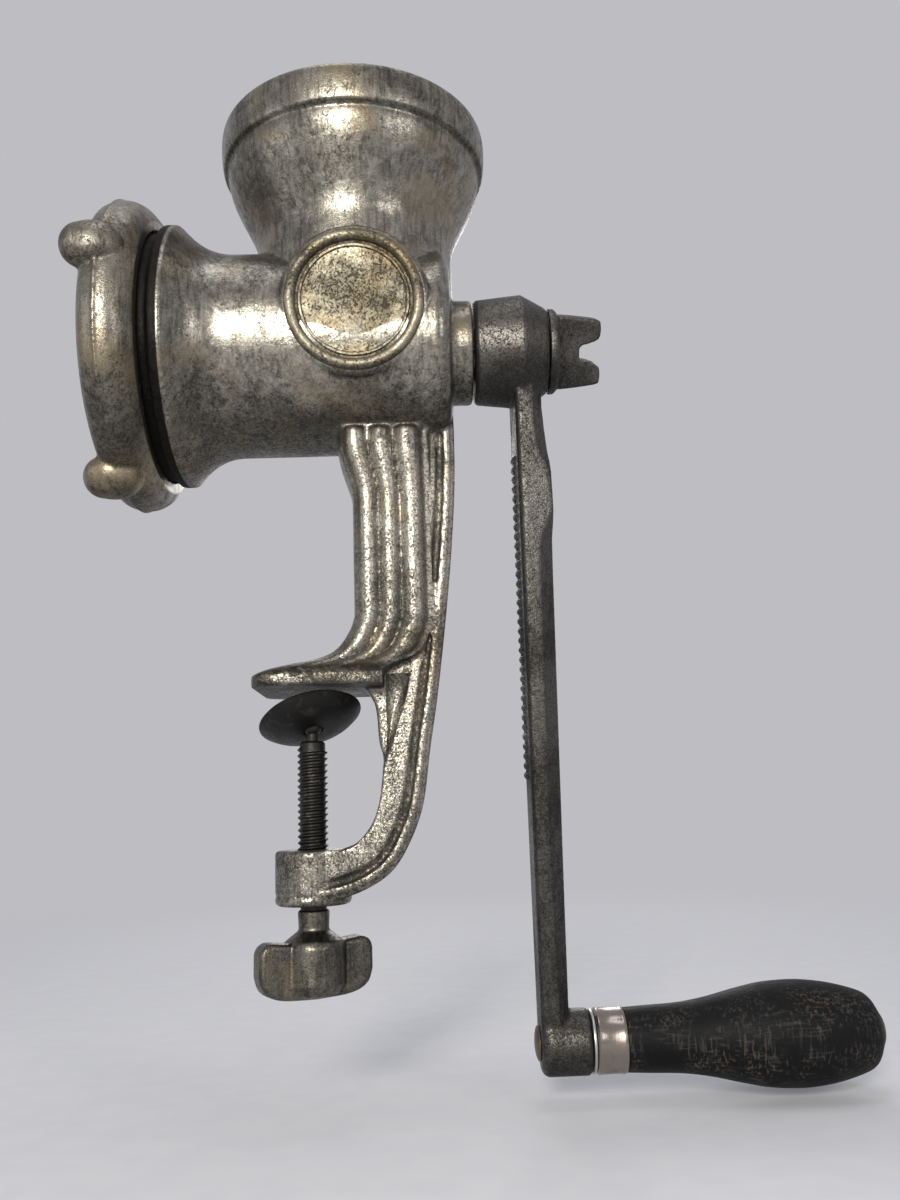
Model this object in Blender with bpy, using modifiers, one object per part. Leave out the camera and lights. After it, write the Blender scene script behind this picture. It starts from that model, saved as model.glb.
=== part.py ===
"""Hand cranked meat grinder with a table clamp.

Metres, +Z up. The grinder stands as it is used, with its hopper up and its clamp down. The origin is
on the flat underside of the clamp's jaw, on the axis of the clamp screw, so the table top lies in
the plane Z = 0. The barrel runs along X, its mouth towards -X and its crank towards +X.
"""
import math

import bmesh
import bpy
from mathutils import Matrix, Vector

# Clearances and cutting
RUNNING_GAP = 0.0003
SEAT_GAP = 0.0003
OVERRUN = 0.0010
JOIN_DEPTH = 0.0010
WELD_DISTANCE = 0.000005
ROUND_STEPS = 40
SMALL_STEPS = 20
SMOOTH_ANGLE = math.radians(32.0)

# Body casting: places of its axes
JAW_TO_BARREL = 0.0960
SCREW_TO_HOPPER = 0.0138
BODY_WALL = 0.0034

# Barrel
BARREL_RADIUS = 0.0283
BARREL_REAR = 0.0262
BARREL_SHOULDER = 0.0040
REAR_WALL = 0.0050
MOUTH_REACH = 0.0623
MOUTH_NECK_WALL = 0.0039
MOUTH_THREAD_LENGTH = 0.0112
MOUTH_FLANGE_PROUD = 0.0021
MOUTH_FLANGE_WIDTH = 0.0034
FLARE_LENGTH = 0.0150
FLARE_POWER_SHARE = 2.3
COLLAR_RADIUS = 0.0147
COLLAR_LENGTH = 0.0064

# Hopper
HOPPER_TOP = 0.0653
HOPPER_RIM_RADIUS = 0.0381
HOPPER_BAND = 0.0083
HOPPER_BAND_PROUD = 0.0010
HOPPER_BOWL_RADIUS = 0.0366
HOPPER_NECK_RADIUS = 0.0272
HOPPER_NECK_HEIGHT = 0.0280
BOWL_STEPS = 6

# Medallion boss on the side of the barrel
MEDALLION_RADIUS = 0.0181
MEDALLION_REACH = 0.0310
MEDALLION_BEAD = 0.0038
MEDALLION_BEAD_PROUD = 0.0016
MEDALLION_RISE = 0.0012

# Leg with its three rounded flutes
LEG_LEFT = 0.0131
LEG_HALF_DEPTH = 0.0112
FLUTE_COUNT = 3
FLUTE_PITCH = 0.0066
FLUTE_PROUD = 0.0014
FLUTE_STEPS = 3
LEG_NOSE = 0.0012
LEG_FILLET = 0.0190

# Jaw
JAW_TIP = 0.0144
JAW_HALF_DEPTH = 0.0172
JAW_CORNER = 0.0060
# How the leg spreads into the jaw: height above the table as a share of LEG_FILLET, spread as a share
SPREAD_SHARES = (
    (1.0, 0.0), (0.67, 0.11), (0.49, 0.24), (0.395, 0.42), (0.33, 0.66), (0.25, 0.88), (0.155, 1.0),
    (0.0, 1.0),
)

# C-shaped arm of the clamp
CLAMP_OPENING = 0.0412
BOSS_HEIGHT = 0.0138
BOSS_RADIUS = 0.0087
ARM_HALF_DEPTH = 0.0080
ARM_BACK_TOP = 0.0404
ARM_BACK_JAW = 0.0340
ARM_THROAT = 0.0190
FLANGE_HALF_DEPTH = 0.0096
FLANGE_THICKNESS = 0.0032
ARM_CURVE_STEPS = 2
# Outer edge above the table: reach as a share of ARM_BACK_TOP, height as a share of JAW_TO_BARREL
BACK_SHARES = ((1.0, 1.0), (0.995, 0.63), (0.965, 0.43), (0.916, 0.235))
# Outer edge below: reach as a share of ARM_BACK_JAW, drop as a share of the boss's underside
OUTER_SHARES = (
    (1.0, 0.0), (0.924, 0.278), (0.853, 0.556), (0.732, 0.745), (0.588, 0.865), (0.368, 0.942),
    (0.135, 0.98),
)
# Inner edge: reach as a share of ARM_THROAT, drop as a share of CLAMP_OPENING
INNER_SHARES = (
    (0.70, -0.04), (0.90, 0.11), (0.95, 0.345), (1.0, 0.44), (0.985, 0.56), (0.93, 0.73), (0.82, 0.86),
    (0.63, 0.96), (0.44, 0.995),
)
# Corners of the pocket on each side of the arm, under the jaw, as shares of the same two sizes
POCKET_SHARES = ((1.10, 0.03), (1.42, 0.03), (1.36, 0.22), (1.17, 0.50), (1.10, 0.36))
POCKET_DEPTH = 0.0035

# Pin that keys the cutter plate
KEY_RADIUS = 0.0012
KEY_LENGTH = 0.0040
KEY_PROUD = 0.0016

# Feed auger
FLIGHT_GAP = 0.0006
AUGER_CORE_FRONT = 0.0075
AUGER_CORE_REAR = 0.0105
FLIGHT_PITCH = 0.0240
FLIGHT_TURNS = 2.6
FLIGHT_ROOT = 0.0062
FLIGHT_TIP = 0.0028
FLIGHT_STEPS = 22
AUGER_FRONT_GAP = 0.0012
JOURNAL_RADIUS = 0.0083
SHANK_SQUARE = 0.0112
SHANK_HOLE_DEPTH = 0.0160
WASHER_RADIUS = 0.0155
WASHER_THICKNESS = 0.0016

# Stud that carries the knife and centres on the plate
STUD_RADIUS = 0.0042
STUD_DEPTH = 0.0120
STUD_SQUARE = 0.0095

# Cutter knife
KNIFE_THICKNESS = 0.0052
KNIFE_HUB_RADIUS = 0.0098
KNIFE_BLADES = 4
KNIFE_TIP_GAP = 0.0004
KNIFE_BLADE_WIDTH = 0.0078
KNIFE_SWEEP_SHARE = 0.35

# Cutter plate
PLATE_SHOULDER = 0.0054
PLATE_THICKNESS = 0.0060
PLATE_PROUD = 0.0006
PLATE_HOLE_RADIUS = 0.0026
PLATE_RINGS = 3
PLATE_RING_START = 0.0092
PLATE_RING_STEP = 0.0069
PLATE_HOLES_PER_RING = 6
PLATE_HOLE_STEPS = 6

# Ring nut
RING_BACK_GAP = 0.0026
RING_WIDTH = 0.0144
RING_WALL = 0.0033
RING_BELLY_PROUD = 0.0050
RING_FRONT_STEP = 0.0008
RING_LIP_COVER = 0.0028
RING_LUGS = 4
RING_LUG_TURN = math.radians(24.0)
LUG_WIDTH = 0.0140
LUG_PROUD = 0.0042
LUG_FORWARD = 0.0050

# Crank arm
CRANK_LENGTH = 0.1933
CRANK_SWING = math.radians(7.1)
HUB_GAP = 0.0006
HUB_LENGTH = 0.0208
HUB_REAR_RADIUS = 0.0147
HUB_RIDGE_RADIUS = 0.0160
HUB_RIDGE_PLACE = 0.0134
HUB_FRONT_RADIUS = 0.0124
HUB_END_WALL = 0.0030
ARM_OFFSET = 0.0105
ARM_THICK_TOP = 0.0096
ARM_THICK_END = 0.0078
ARM_WIDE_TOP = 0.0200
ARM_WIDE_END = 0.0130
ARM_LEAN = 0.0016
ARM_START = 0.0080
KNUCKLE_PLACE_SHARE = 0.26
BOSS_END_RADIUS = 0.0087
BOSS_END_LENGTH = 0.0136

# Thumb screw
THUMB_FLANGE_RADIUS = 0.0120
THUMB_FLANGE_THICKNESS = 0.0026
THUMB_SHANK_RADIUS = 0.0040
THUMB_SHANK_LENGTH = 0.0140
THUMB_TURN = math.radians(25.0)
THUMB_HALF_SPAN = 0.0122
THUMB_LENGTH = 0.0165
THUMB_THICKNESS = 0.0068
# Outline of the thumb piece: along its axis as a share of THUMB_LENGTH, across as a share of the half span
THUMB_SHARES = (
    (0.0, 0.98), (0.25, 0.98), (0.94, 0.84), (1.0, 0.74), (1.0, 0.42), (0.93, 0.33), (0.62, 0.20),
)

# Handle
GRIP_LENGTH = 0.0720
GRIP_RADIUS = 0.0139
GRIP_BORE_GAP = 0.0004
# Radius of the grip as a share of GRIP_RADIUS, at shares of its length
GRIP_SHARES = (
    (0.0, 0.60), (0.10, 0.625), (0.22, 0.655), (0.33, 0.735), (0.45, 0.87), (0.55, 0.965), (0.64, 1.0),
    (0.72, 0.995), (0.82, 0.93), (0.92, 0.80), (0.97, 0.68), (1.0, 0.46),
)
FERRULE_RADIUS = 0.0087
FERRULE_WALL = 0.0008
FERRULE_LENGTH = 0.0092
SPINDLE_RADIUS = 0.0030
SPINDLE_HEAD_RADIUS = 0.0052
SPINDLE_HEAD_RISE = 0.0018
PEENED_RADIUS = 0.0047
PEENED_RISE = 0.0012
HANDLE_WASHER_RADIUS = 0.0084
HANDLE_WASHER_THICKNESS = 0.0007

# Clamp screw with its wing head and swivel pad
SCREW_RADIUS = 0.00397
SCREW_TOP = 0.0132
WING_TOP = 0.0625
WING_HEIGHT = 0.0155
WING_HUB_RADIUS = 0.0078
WING_SPAN = 0.0345
WING_THICKNESS = 0.0066
WING_TURN = math.radians(28.0)
WING_DOME = 0.0035
WING_NECK_HEIGHT = 0.0014
PAD_RADIUS = 0.0138
PAD_THICKNESS = 0.0016
PAD_DISH = 0.0030
PAD_DROP = 0.0090
PAD_TILT = math.radians(26.6)
PAD_TILT_HEADING = math.radians(32.3)
PAD_SOCKET_RADIUS = 0.0046
BALL_RADIUS = 0.0028
BALL_STEM_RADIUS = 0.0016
BALL_STEM_DEPTH = 0.0060

# Places worked out from the sizes above
HOPPER_X = SCREW_TO_HOPPER
AXIS_Z = JAW_TO_BARREL
BARREL_AXIS_POINT = Vector((HOPPER_X, 0.0, AXIS_Z))
CLAMP_DROP = CLAMP_OPENING + BOSS_HEIGHT
REAR_X = HOPPER_X + BARREL_REAR
COLLAR_END_X = REAR_X + COLLAR_LENGTH
BORE_RADIUS = BARREL_RADIUS - BODY_WALL
BORE_REAR = BARREL_REAR - REAR_WALL
MOUTH_END_X = HOPPER_X - MOUTH_REACH
THREAD_BACK = MOUTH_REACH - MOUTH_THREAD_LENGTH
PLATE_SEAT_RADIUS = BORE_RADIUS + PLATE_SHOULDER
PLATE_RADIUS = PLATE_SEAT_RADIUS - RUNNING_GAP
KNIFE_REACH = BORE_RADIUS - KNIFE_TIP_GAP
MOUTH_THREAD_RADIUS = PLATE_SEAT_RADIUS + MOUTH_NECK_WALL
MOUTH_FLANGE_RADIUS = MOUTH_THREAD_RADIUS + MOUTH_FLANGE_PROUD
RING_BORE_RADIUS = MOUTH_THREAD_RADIUS + RUNNING_GAP
RING_BACK_RADIUS = RING_BORE_RADIUS + RING_WALL
RING_BELLY_RADIUS = RING_BACK_RADIUS + RING_BELLY_PROUD
RING_FRONT_RADIUS = RING_BACK_RADIUS - RING_FRONT_STEP
RING_LIP_RADIUS = PLATE_RADIUS - RING_LIP_COVER
PLATE_X = MOUTH_END_X - PLATE_PROUD
KNIFE_X = PLATE_X + PLATE_THICKNESS + SEAT_GAP
KNIFE_END_X = KNIFE_X + KNIFE_THICKNESS
AUGER_X = KNIFE_END_X + AUGER_FRONT_GAP
HUB_X = COLLAR_END_X + HUB_GAP
HUB_END_X = HUB_X + HUB_LENGTH
JOURNAL_HOLE = JOURNAL_RADIUS + RUNNING_GAP
THUMB_X = HUB_END_X + SEAT_GAP
END_BOSS_X = HUB_X + ARM_OFFSET + ARM_LEAN
GRIP_X = END_BOSS_X + BOSS_END_LENGTH + HANDLE_WASHER_THICKNESS + SEAT_GAP * 2
GRIP_END_X = GRIP_X + FERRULE_LENGTH + GRIP_LENGTH
WING_TOP_Z = -WING_TOP
RING_BACK_X = HOPPER_X - THREAD_BACK - RING_BACK_GAP
BALL_Z = -PAD_DROP

ALONG_X = Vector((1.0, 0.0, 0.0))
TOWARDS_MOUTH = Vector((-1.0, 0.0, 0.0))
UP = Vector((0.0, 0.0, 1.0))
TOWARDS_FRONT = Vector((0.0, -1.0, 0.0))


def clear_scene():
    for obj in list(bpy.data.objects):
        bpy.data.objects.remove(obj, do_unlink=True)


def make_collection(name):
    collection = bpy.data.collections.new(name)
    bpy.context.scene.collection.children.link(collection)
    return collection


clear_scene()
PARTS = make_collection("meat_grinder")
CUTTERS = make_collection("cutters")


def make_material(name, colour, roughness, metallic):
    material = bpy.data.materials.new(name)
    material.use_nodes = True
    shader = material.node_tree.nodes["Principled BSDF"]
    shader.inputs["Base Color"].default_value = (*colour, 1.0)
    shader.inputs["Roughness"].default_value = roughness
    shader.inputs["Metallic"].default_value = metallic
    return material


def pivot(name, point, turn=None, parent=None):
    """An empty on a joint's axis; pieces parented to it keep world coordinates in their own meshes."""
    empty = bpy.data.objects.new(name, None)
    PARTS.objects.link(empty)
    empty.location = point
    if turn is not None:
        empty.rotation_euler = turn
    if parent is not None:
        empty.parent = parent
        empty.matrix_parent_inverse = parent.matrix_world.inverted()
    bpy.context.view_layer.update()
    return empty


def facing(direction):
    """A turn that takes +Z to a direction along an axis, and keeps +X or +Y on an axis too."""
    sideways = abs(direction.x) > abs(direction.y) + abs(direction.z)
    across = Vector((0.0, direction.x, 0.0)) if sideways else ALONG_X
    up = direction.cross(across)
    return Matrix((across, up, direction)).transposed().to_4x4()


def place(obj, point, direction=UP, spin=0.0, parent=None):
    """Puts an object at a point with its own +Z along a direction, in its parent's frame if it has one."""
    obj.matrix_world = Matrix.Translation(point) @ facing(direction) @ Matrix.Rotation(spin, 4, "Z")
    if parent is not None:
        obj.parent = parent
        obj.matrix_parent_inverse = Matrix.Identity(4)


def object_of(mesh, name):
    obj = bpy.data.objects.new(name, mesh)
    CUTTERS.objects.link(obj)
    obj.hide_render = True
    obj.display_type = "WIRE"
    return obj


def from_bmesh(bm, name):
    mesh = bpy.data.meshes.new(name)
    bm.to_mesh(mesh)
    bm.free()
    return object_of(mesh, name)


def publish(obj, material, parent=None):
    """Moves a finished piece to the parts, with its material and smooth shading."""
    CUTTERS.objects.unlink(obj)
    PARTS.objects.link(obj)
    obj.hide_render = False
    obj.display_type = "TEXTURED"
    obj.data.materials.clear()
    obj.data.materials.append(material)
    obj.data.shade_smooth()
    obj.data.set_sharp_from_angle(angle=SMOOTH_ANGLE)
    if parent is not None and obj.parent is None:
        obj.parent = parent
        obj.matrix_parent_inverse = Matrix.Identity(4)
    return obj


def combine(target, operation, *others):
    for other in others:
        step = target.modifiers.new(f"{operation} {other.name}", "BOOLEAN")
        step.operation = operation
        step.solver = "EXACT"
        step.object = other
        weld = target.modifiers.new("Weld", "WELD")
        weld.merge_threshold = WELD_DISTANCE


def turned(name, profile, point, direction=UP, steps=ROUND_STEPS, closed=False, parent=None, spin=0.0):
    """A lathe shape. The profile lists (radius, height) down its outer side, from the top."""
    mesh = bpy.data.meshes.new(name)
    count = len(profile)
    edges = [(i, i + 1) for i in range(count - 1)]
    if closed:
        edges.append((count - 1, 0))
    mesh.from_pydata([(radius, 0.0, height) for radius, height in profile], edges, [])
    obj = object_of(mesh, name)
    screw = obj.modifiers.new("Turn", "SCREW")
    screw.angle = math.tau
    screw.steps = steps
    screw.render_steps = steps
    screw.use_merge_vertices = True
    screw.merge_threshold = 0.00001
    place(obj, point, direction, spin, parent)
    return obj


def rod(name, radius, start, end, point, direction=UP, steps=SMALL_STEPS, parent=None):
    """A plain cylinder between two heights on the axis through a point."""
    profile = [(0.0, end), (radius, end), (radius, start), (0.0, start)]
    return turned(name, profile, point, direction, steps, parent=parent)


def block(name, size, centre, direction=UP, spin=0.0, parent=None):
    bm = bmesh.new()
    bmesh.ops.create_cube(bm, size=1.0, matrix=Matrix.Diagonal((*size, 1.0)))
    obj = from_bmesh(bm, name)
    place(obj, centre, direction, spin, parent)
    return obj


def bevelled(obj, width, segments=2, angle=math.radians(35.0)):
    bevel = obj.modifiers.new("Round edges", "BEVEL")
    bevel.width = width
    bevel.segments = segments
    bevel.limit_method = "ANGLE"
    bevel.angle_limit = angle
    return obj


def sheet(name, outline, half_depth, point, direction=TOWARDS_FRONT, spin=0.0, parent=None, round_width=0.0):
    """A flat outline given thickness on both sides of its plane, as a mesh."""
    curve = bpy.data.curves.new(name, "CURVE")
    curve.dimensions = "2D"
    curve.fill_mode = "BOTH"
    curve.extrude = half_depth
    spline = curve.splines.new("POLY")
    spline.points.add(len(outline) - 1)
    for target, (across, along) in zip(spline.points, outline):
        target.co = (across, along, 0.0, 1.0)
    spline.use_cyclic_u = True
    flat = bpy.data.objects.new(name + " outline", curve)
    CUTTERS.objects.link(flat)
    bpy.context.view_layer.update()
    mesh = bpy.data.meshes.new_from_object(flat.evaluated_get(bpy.context.evaluated_depsgraph_get()))
    bpy.data.objects.remove(flat, do_unlink=True)
    bm = bmesh.new()
    bm.from_mesh(mesh)
    bmesh.ops.remove_doubles(bm, verts=bm.verts, dist=0.00001)
    bmesh.ops.recalc_face_normals(bm, faces=bm.faces)
    bm.to_mesh(mesh)
    bm.free()
    obj = object_of(mesh, name)
    if round_width > 0.0:
        bevelled(obj, round_width)
    place(obj, point, direction, spin, parent)
    return obj


def loft(name, sections, point=None, parent=None):
    """A skin over closed outlines that all have the same number of points, with flat ends."""
    bm = bmesh.new()
    rings = [[bm.verts.new(corner) for corner in section] for section in sections]
    count = len(rings[0])
    for lower, upper in zip(rings, rings[1:]):
        for i in range(count):
            j = (i + 1) % count
            bm.faces.new((lower[i], lower[j], upper[j], upper[i]))
    bm.faces.new(rings[0])
    bm.faces.new(rings[-1])
    bmesh.ops.recalc_face_normals(bm, faces=bm.faces)
    obj = from_bmesh(bm, name)
    place(obj, point or Vector(), parent=parent)
    return obj


def smooth_through(points, steps):
    """Points on a smooth curve through the given ones."""
    found = []
    for i in range(len(points) - 1):
        before = Vector(points[max(i - 1, 0)])
        start = Vector(points[i])
        end = Vector(points[i + 1])
        after = Vector(points[min(i + 2, len(points) - 1)])
        for k in range(steps):
            t = k / steps
            bend = (2 * before - 5 * start + 4 * end - after) * t * t
            curl = (3 * start - before - 3 * end + after) * t * t * t
            found.append(tuple(0.5 * (2 * start + (end - before) * t + bend + curl)))
    found.append(tuple(points[-1]))
    return found


def inset_edge(edge, depth):
    """The same edge moved sideways by depth, to its right."""
    found = []
    for i, here in enumerate(edge):
        before = Vector(edge[max(i - 1, 0)])
        after = Vector(edge[min(i + 1, len(edge) - 1)])
        along = (after - before).normalized()
        found.append((here[0] + along[1] * depth, here[1] - along[0] * depth))
    return found


def arc(centre, radius, start, end, steps):
    """Points on an arc, both ends included."""
    angles = [start + (end - start) * i / steps for i in range(steps + 1)]
    return [(centre[0] + radius * math.cos(a), centre[1] + radius * math.sin(a)) for a in angles]


def barrel_outside():
    flare_start = THREAD_BACK - MOUTH_FLANGE_WIDTH
    profile = [(0.0, MOUTH_REACH), (MOUTH_THREAD_RADIUS, MOUTH_REACH), (MOUTH_THREAD_RADIUS, THREAD_BACK)]
    profile += [(MOUTH_FLANGE_RADIUS, THREAD_BACK), (MOUTH_FLANGE_RADIUS, flare_start)]
    flare_steps = 4
    for i in range(1, flare_steps + 1):
        share = 1.0 - i / flare_steps
        radius = BARREL_RADIUS + (MOUTH_FLANGE_RADIUS - BARREL_RADIUS) * share**FLARE_POWER_SHARE
        profile.append((radius, flare_start - FLARE_LENGTH * i / flare_steps))
    corner = (BARREL_RADIUS - BARREL_SHOULDER, BARREL_SHOULDER - BARREL_REAR)
    profile += arc(corner, BARREL_SHOULDER, 0.0, -math.pi / 2, 4)
    profile.append((0.0, -BARREL_REAR))
    return turned("barrel outside", profile, BARREL_AXIS_POINT, TOWARDS_MOUTH)


def bowl_radius(height, inset):
    share = (height - HOPPER_NECK_HEIGHT) / (HOPPER_TOP - HOPPER_BAND - HOPPER_NECK_HEIGHT)
    share = min(max(share, 0.0), 1.0)
    eased = share * share * (3.0 - 2.0 * share)
    return HOPPER_NECK_RADIUS - inset + (HOPPER_BOWL_RADIUS - HOPPER_NECK_RADIUS) * eased


def hopper_outside():
    band_low = HOPPER_TOP - HOPPER_BAND
    lip = HOPPER_BAND * 0.22
    profile = [(0.0, HOPPER_TOP), (HOPPER_RIM_RADIUS - lip, HOPPER_TOP)]
    profile += arc((HOPPER_RIM_RADIUS - lip, HOPPER_TOP - lip), lip, math.pi / 3, 0.0, 2)
    profile.append((HOPPER_BOWL_RADIUS + HOPPER_BAND_PROUD, band_low + HOPPER_BAND_PROUD))
    profile.append((HOPPER_BOWL_RADIUS, band_low))
    for i in range(1, BOWL_STEPS + 1):
        height = band_low + (HOPPER_NECK_HEIGHT - band_low) * i / BOWL_STEPS
        profile.append((bowl_radius(height, 0.0), height))
    profile += [(HOPPER_NECK_RADIUS, 0.0), (0.0, 0.0)]
    return turned("hopper outside", profile, BARREL_AXIS_POINT)


def hopper_inside():
    top = HOPPER_TOP + OVERRUN
    profile = [(0.0, top), (HOPPER_RIM_RADIUS - BODY_WALL, top)]
    for i in range(BOWL_STEPS + 1):
        height = HOPPER_TOP - HOPPER_BAND + (HOPPER_NECK_HEIGHT + HOPPER_BAND - HOPPER_TOP) * i / BOWL_STEPS
        profile.append((bowl_radius(height, BODY_WALL), height))
    throat = HOPPER_NECK_RADIUS - BODY_WALL
    profile += [(throat, 0.0), (0.0, 0.0)]
    return turned("hopper inside", profile, BARREL_AXIS_POINT)


def medallion_boss():
    """A flat disc on the barrel's side with a round bead for a border, and nothing on its field."""
    top = MEDALLION_REACH
    bead_centre = MEDALLION_RADIUS - MEDALLION_BEAD / 2
    profile = [(0.0, top), (MEDALLION_RADIUS - MEDALLION_BEAD, top)]
    for i in range(1, 4):
        angle = math.pi - math.pi * i / 4
        across = bead_centre + MEDALLION_BEAD / 2 * math.cos(angle)
        profile.append((across, top + MEDALLION_BEAD_PROUD * math.sin(angle)))
    profile += [(MEDALLION_RADIUS, top), (MEDALLION_RADIUS + MEDALLION_RISE, top - MEDALLION_RISE)]
    profile += [(MEDALLION_RADIUS + MEDALLION_RISE, BORE_RADIUS * 0.5), (0.0, BORE_RADIUS * 0.5)]
    return turned("medallion boss", profile, BARREL_AXIS_POINT, TOWARDS_FRONT, 32)


def leg_outline(spread):
    """Fluted outline of the leg, blended towards the outline of the jaw by a share."""
    right = LEG_LEFT + FLUTE_COUNT * FLUTE_PITCH
    front = []
    total = FLUTE_COUNT * FLUTE_STEPS
    for i in range(total + 1):
        reach = i / total
        flute = abs(math.sin(math.pi * reach * FLUTE_COUNT)) * FLUTE_PROUD
        leg = Vector((LEG_LEFT + reach * (right - LEG_LEFT), -LEG_HALF_DEPTH - flute))
        jaw = Vector((JAW_CORNER - JAW_TIP + reach * (right + JAW_TIP - JAW_CORNER), -JAW_HALF_DEPTH))
        front.append(leg.lerp(jaw, spread))
    nose = []
    nose_steps = 4
    for i in range(1, nose_steps * 2):
        angle = math.pi * i / (nose_steps * 2)
        leg = Vector((LEG_LEFT - LEG_NOSE * math.sin(angle), LEG_HALF_DEPTH * math.cos(angle)))
        side = 1.0 if i < nose_steps else -1.0
        turn = math.pi / 2 * (i / nose_steps if i < nose_steps else 2.0 - i / nose_steps)
        corner = Vector((JAW_CORNER - JAW_TIP, side * (JAW_HALF_DEPTH - JAW_CORNER)))
        jaw = corner + JAW_CORNER * Vector((-math.sin(turn), side * math.cos(turn)))
        if i == nose_steps:
            jaw = Vector((-JAW_TIP, 0.0))
        nose.append(leg.lerp(jaw, spread))
    back = [Vector((corner[0], -corner[1])) for corner in reversed(front)]
    return front + back + nose


def leg_and_jaw():
    sections = []
    top = AXIS_Z - BORE_RADIUS - BODY_WALL / 2
    heights = [(top, 0.0)] + [(LEG_FILLET * high, spread) for high, spread in SPREAD_SHARES]
    for height, spread in heights:
        sections.append([(corner[0], corner[1], height) for corner in leg_outline(spread)])
    return loft("leg and jaw", sections)


def arm_edges():
    back = [(ARM_BACK_TOP * reach, AXIS_Z * high) for reach, high in BACK_SHARES]
    lower = [(ARM_BACK_JAW * reach, -CLAMP_DROP * drop) for reach, drop in OUTER_SHARES]
    outer = smooth_through(back + lower, ARM_CURVE_STEPS)
    inner = smooth_through([(ARM_THROAT * r, -CLAMP_OPENING * d) for r, d in INNER_SHARES], ARM_CURVE_STEPS)
    return outer, inner


def clamp_arm():
    """The C-shaped arm: a web, a wider flange along its outer edge, and the round boss of the screw."""
    outer, inner = arm_edges()
    origin = Vector()
    inside_leg = (LEG_LEFT + FLUTE_PITCH / 2, AXIS_Z)
    inner = inner[:-1] + [(inner[-1][0], -CLAMP_OPENING), (0.0, -CLAMP_OPENING)]
    middle = inset_edge(outer, FLANGE_THICKNESS / 2)
    web_outline = middle + [(0.0, middle[-1][1])] + inner[::-1] + [inside_leg]
    web = sheet("arm web", web_outline, ARM_HALF_DEPTH, origin)
    inner_side = inset_edge(outer, FLANGE_THICKNESS)
    tail = [(0.0, outer[-1][1]), (0.0, inner_side[-1][1])]
    flange = sheet("arm flange", outer + tail + inner_side[::-1], FLANGE_HALF_DEPTH, origin,
                   round_width=FLANGE_THICKNESS / 4)
    lip = BOSS_RADIUS * 0.12
    profile = [(0.0, -CLAMP_OPENING), (BOSS_RADIUS, -CLAMP_OPENING)]
    profile += [(BOSS_RADIUS, -CLAMP_DROP + lip), (BOSS_RADIUS - lip, -CLAMP_DROP), (0.0, -CLAMP_DROP)]
    boss = turned("clamp boss", profile, origin, steps=32)
    return web, flange, boss


def arm_pockets():
    outline = [(ARM_THROAT * reach, -CLAMP_OPENING * drop) for reach, drop in POCKET_SHARES]
    pockets = []
    for side in (-1.0, 1.0):
        centre = Vector((0.0, side * ARM_HALF_DEPTH, 0.0))
        pockets.append(sheet(f"arm pocket {side:+.0f}", outline, POCKET_DEPTH, centre))
    return pockets


def body_casting(material):
    body = barrel_outside()
    body.name = "body_casting"
    collar_end = BARREL_REAR + COLLAR_LENGTH
    collar = rod("collar", COLLAR_RADIUS, 0.0, collar_end, BARREL_AXIS_POINT, ALONG_X, ROUND_STEPS)
    web, flange, boss = clamp_arm()
    combine(body, "UNION", hopper_outside(), collar, leg_and_jaw(), web, flange, boss, medallion_boss())
    beyond = MOUTH_REACH + OVERRUN
    shoulder = HOPPER_X - KNIFE_END_X - RUNNING_GAP
    bore = rod("bore", BORE_RADIUS, -BORE_REAR, beyond, BARREL_AXIS_POINT, TOWARDS_MOUTH, ROUND_STEPS)
    chamber = rod("plate chamber", PLATE_SEAT_RADIUS, shoulder, beyond, BARREL_AXIS_POINT, TOWARDS_MOUTH,
                  ROUND_STEPS)
    shaft_end = BARREL_REAR + COLLAR_LENGTH + OVERRUN
    shaft = rod("shaft hole", JOURNAL_HOLE, 0.0, shaft_end, BARREL_AXIS_POINT, ALONG_X)
    thread_end = -CLAMP_DROP - OVERRUN
    thread = rod("screw hole", SCREW_RADIUS + RUNNING_GAP, thread_end, OVERRUN - CLAMP_OPENING, Vector())
    key_end = PLATE_SEAT_RADIUS + KEY_LENGTH - KEY_PROUD + SEAT_GAP
    key = rod("key hole", KEY_RADIUS + SEAT_GAP, 0.0, key_end, key_point(), -UP, 12)
    combine(body, "DIFFERENCE", bore, chamber, hopper_inside(), shaft, thread, key, *arm_pockets())
    return publish(body, material)


def key_point():
    return Vector((PLATE_X + PLATE_THICKNESS / 2, 0.0, AXIS_Z))


def plate_key_pin(material):
    base = PLATE_SEAT_RADIUS - KEY_PROUD
    pin = rod("plate_key_pin", KEY_RADIUS, base, base + KEY_LENGTH, key_point(), -UP, 12)
    return publish(pin, material)


def flight(parent):
    """One helical flight: a tapered section carried round the axis and along it."""
    radius = BORE_RADIUS - FLIGHT_GAP
    root = AUGER_CORE_FRONT - JOIN_DEPTH
    length = FLIGHT_PITCH * FLIGHT_TURNS
    steps = round(FLIGHT_STEPS * FLIGHT_TURNS)
    bm = bmesh.new()
    corners = [(root, 0.0), (root, FLIGHT_ROOT), (radius, (FLIGHT_ROOT + FLIGHT_TIP) / 2),
               (radius, (FLIGHT_ROOT - FLIGHT_TIP) / 2)]
    section = bm.faces.new([bm.verts.new((across, 0.0, along)) for across, along in corners])
    start = list(section.verts) + list(section.edges) + [section]
    rise = Vector((0.0, 0.0, length / steps))
    bmesh.ops.spin(bm, geom=start, cent=(0.0, 0.0, 0.0), axis=(0.0, 0.0, 1.0), dvec=rise,
                   angle=math.tau * FLIGHT_TURNS, steps=steps, use_duplicate=False)
    bmesh.ops.recalc_face_normals(bm, faces=bm.faces)
    obj = from_bmesh(bm, "flight")
    place(obj, on_crank_axis(AUGER_X + JOIN_DEPTH, parent), ALONG_X, parent=parent)
    return obj


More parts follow.
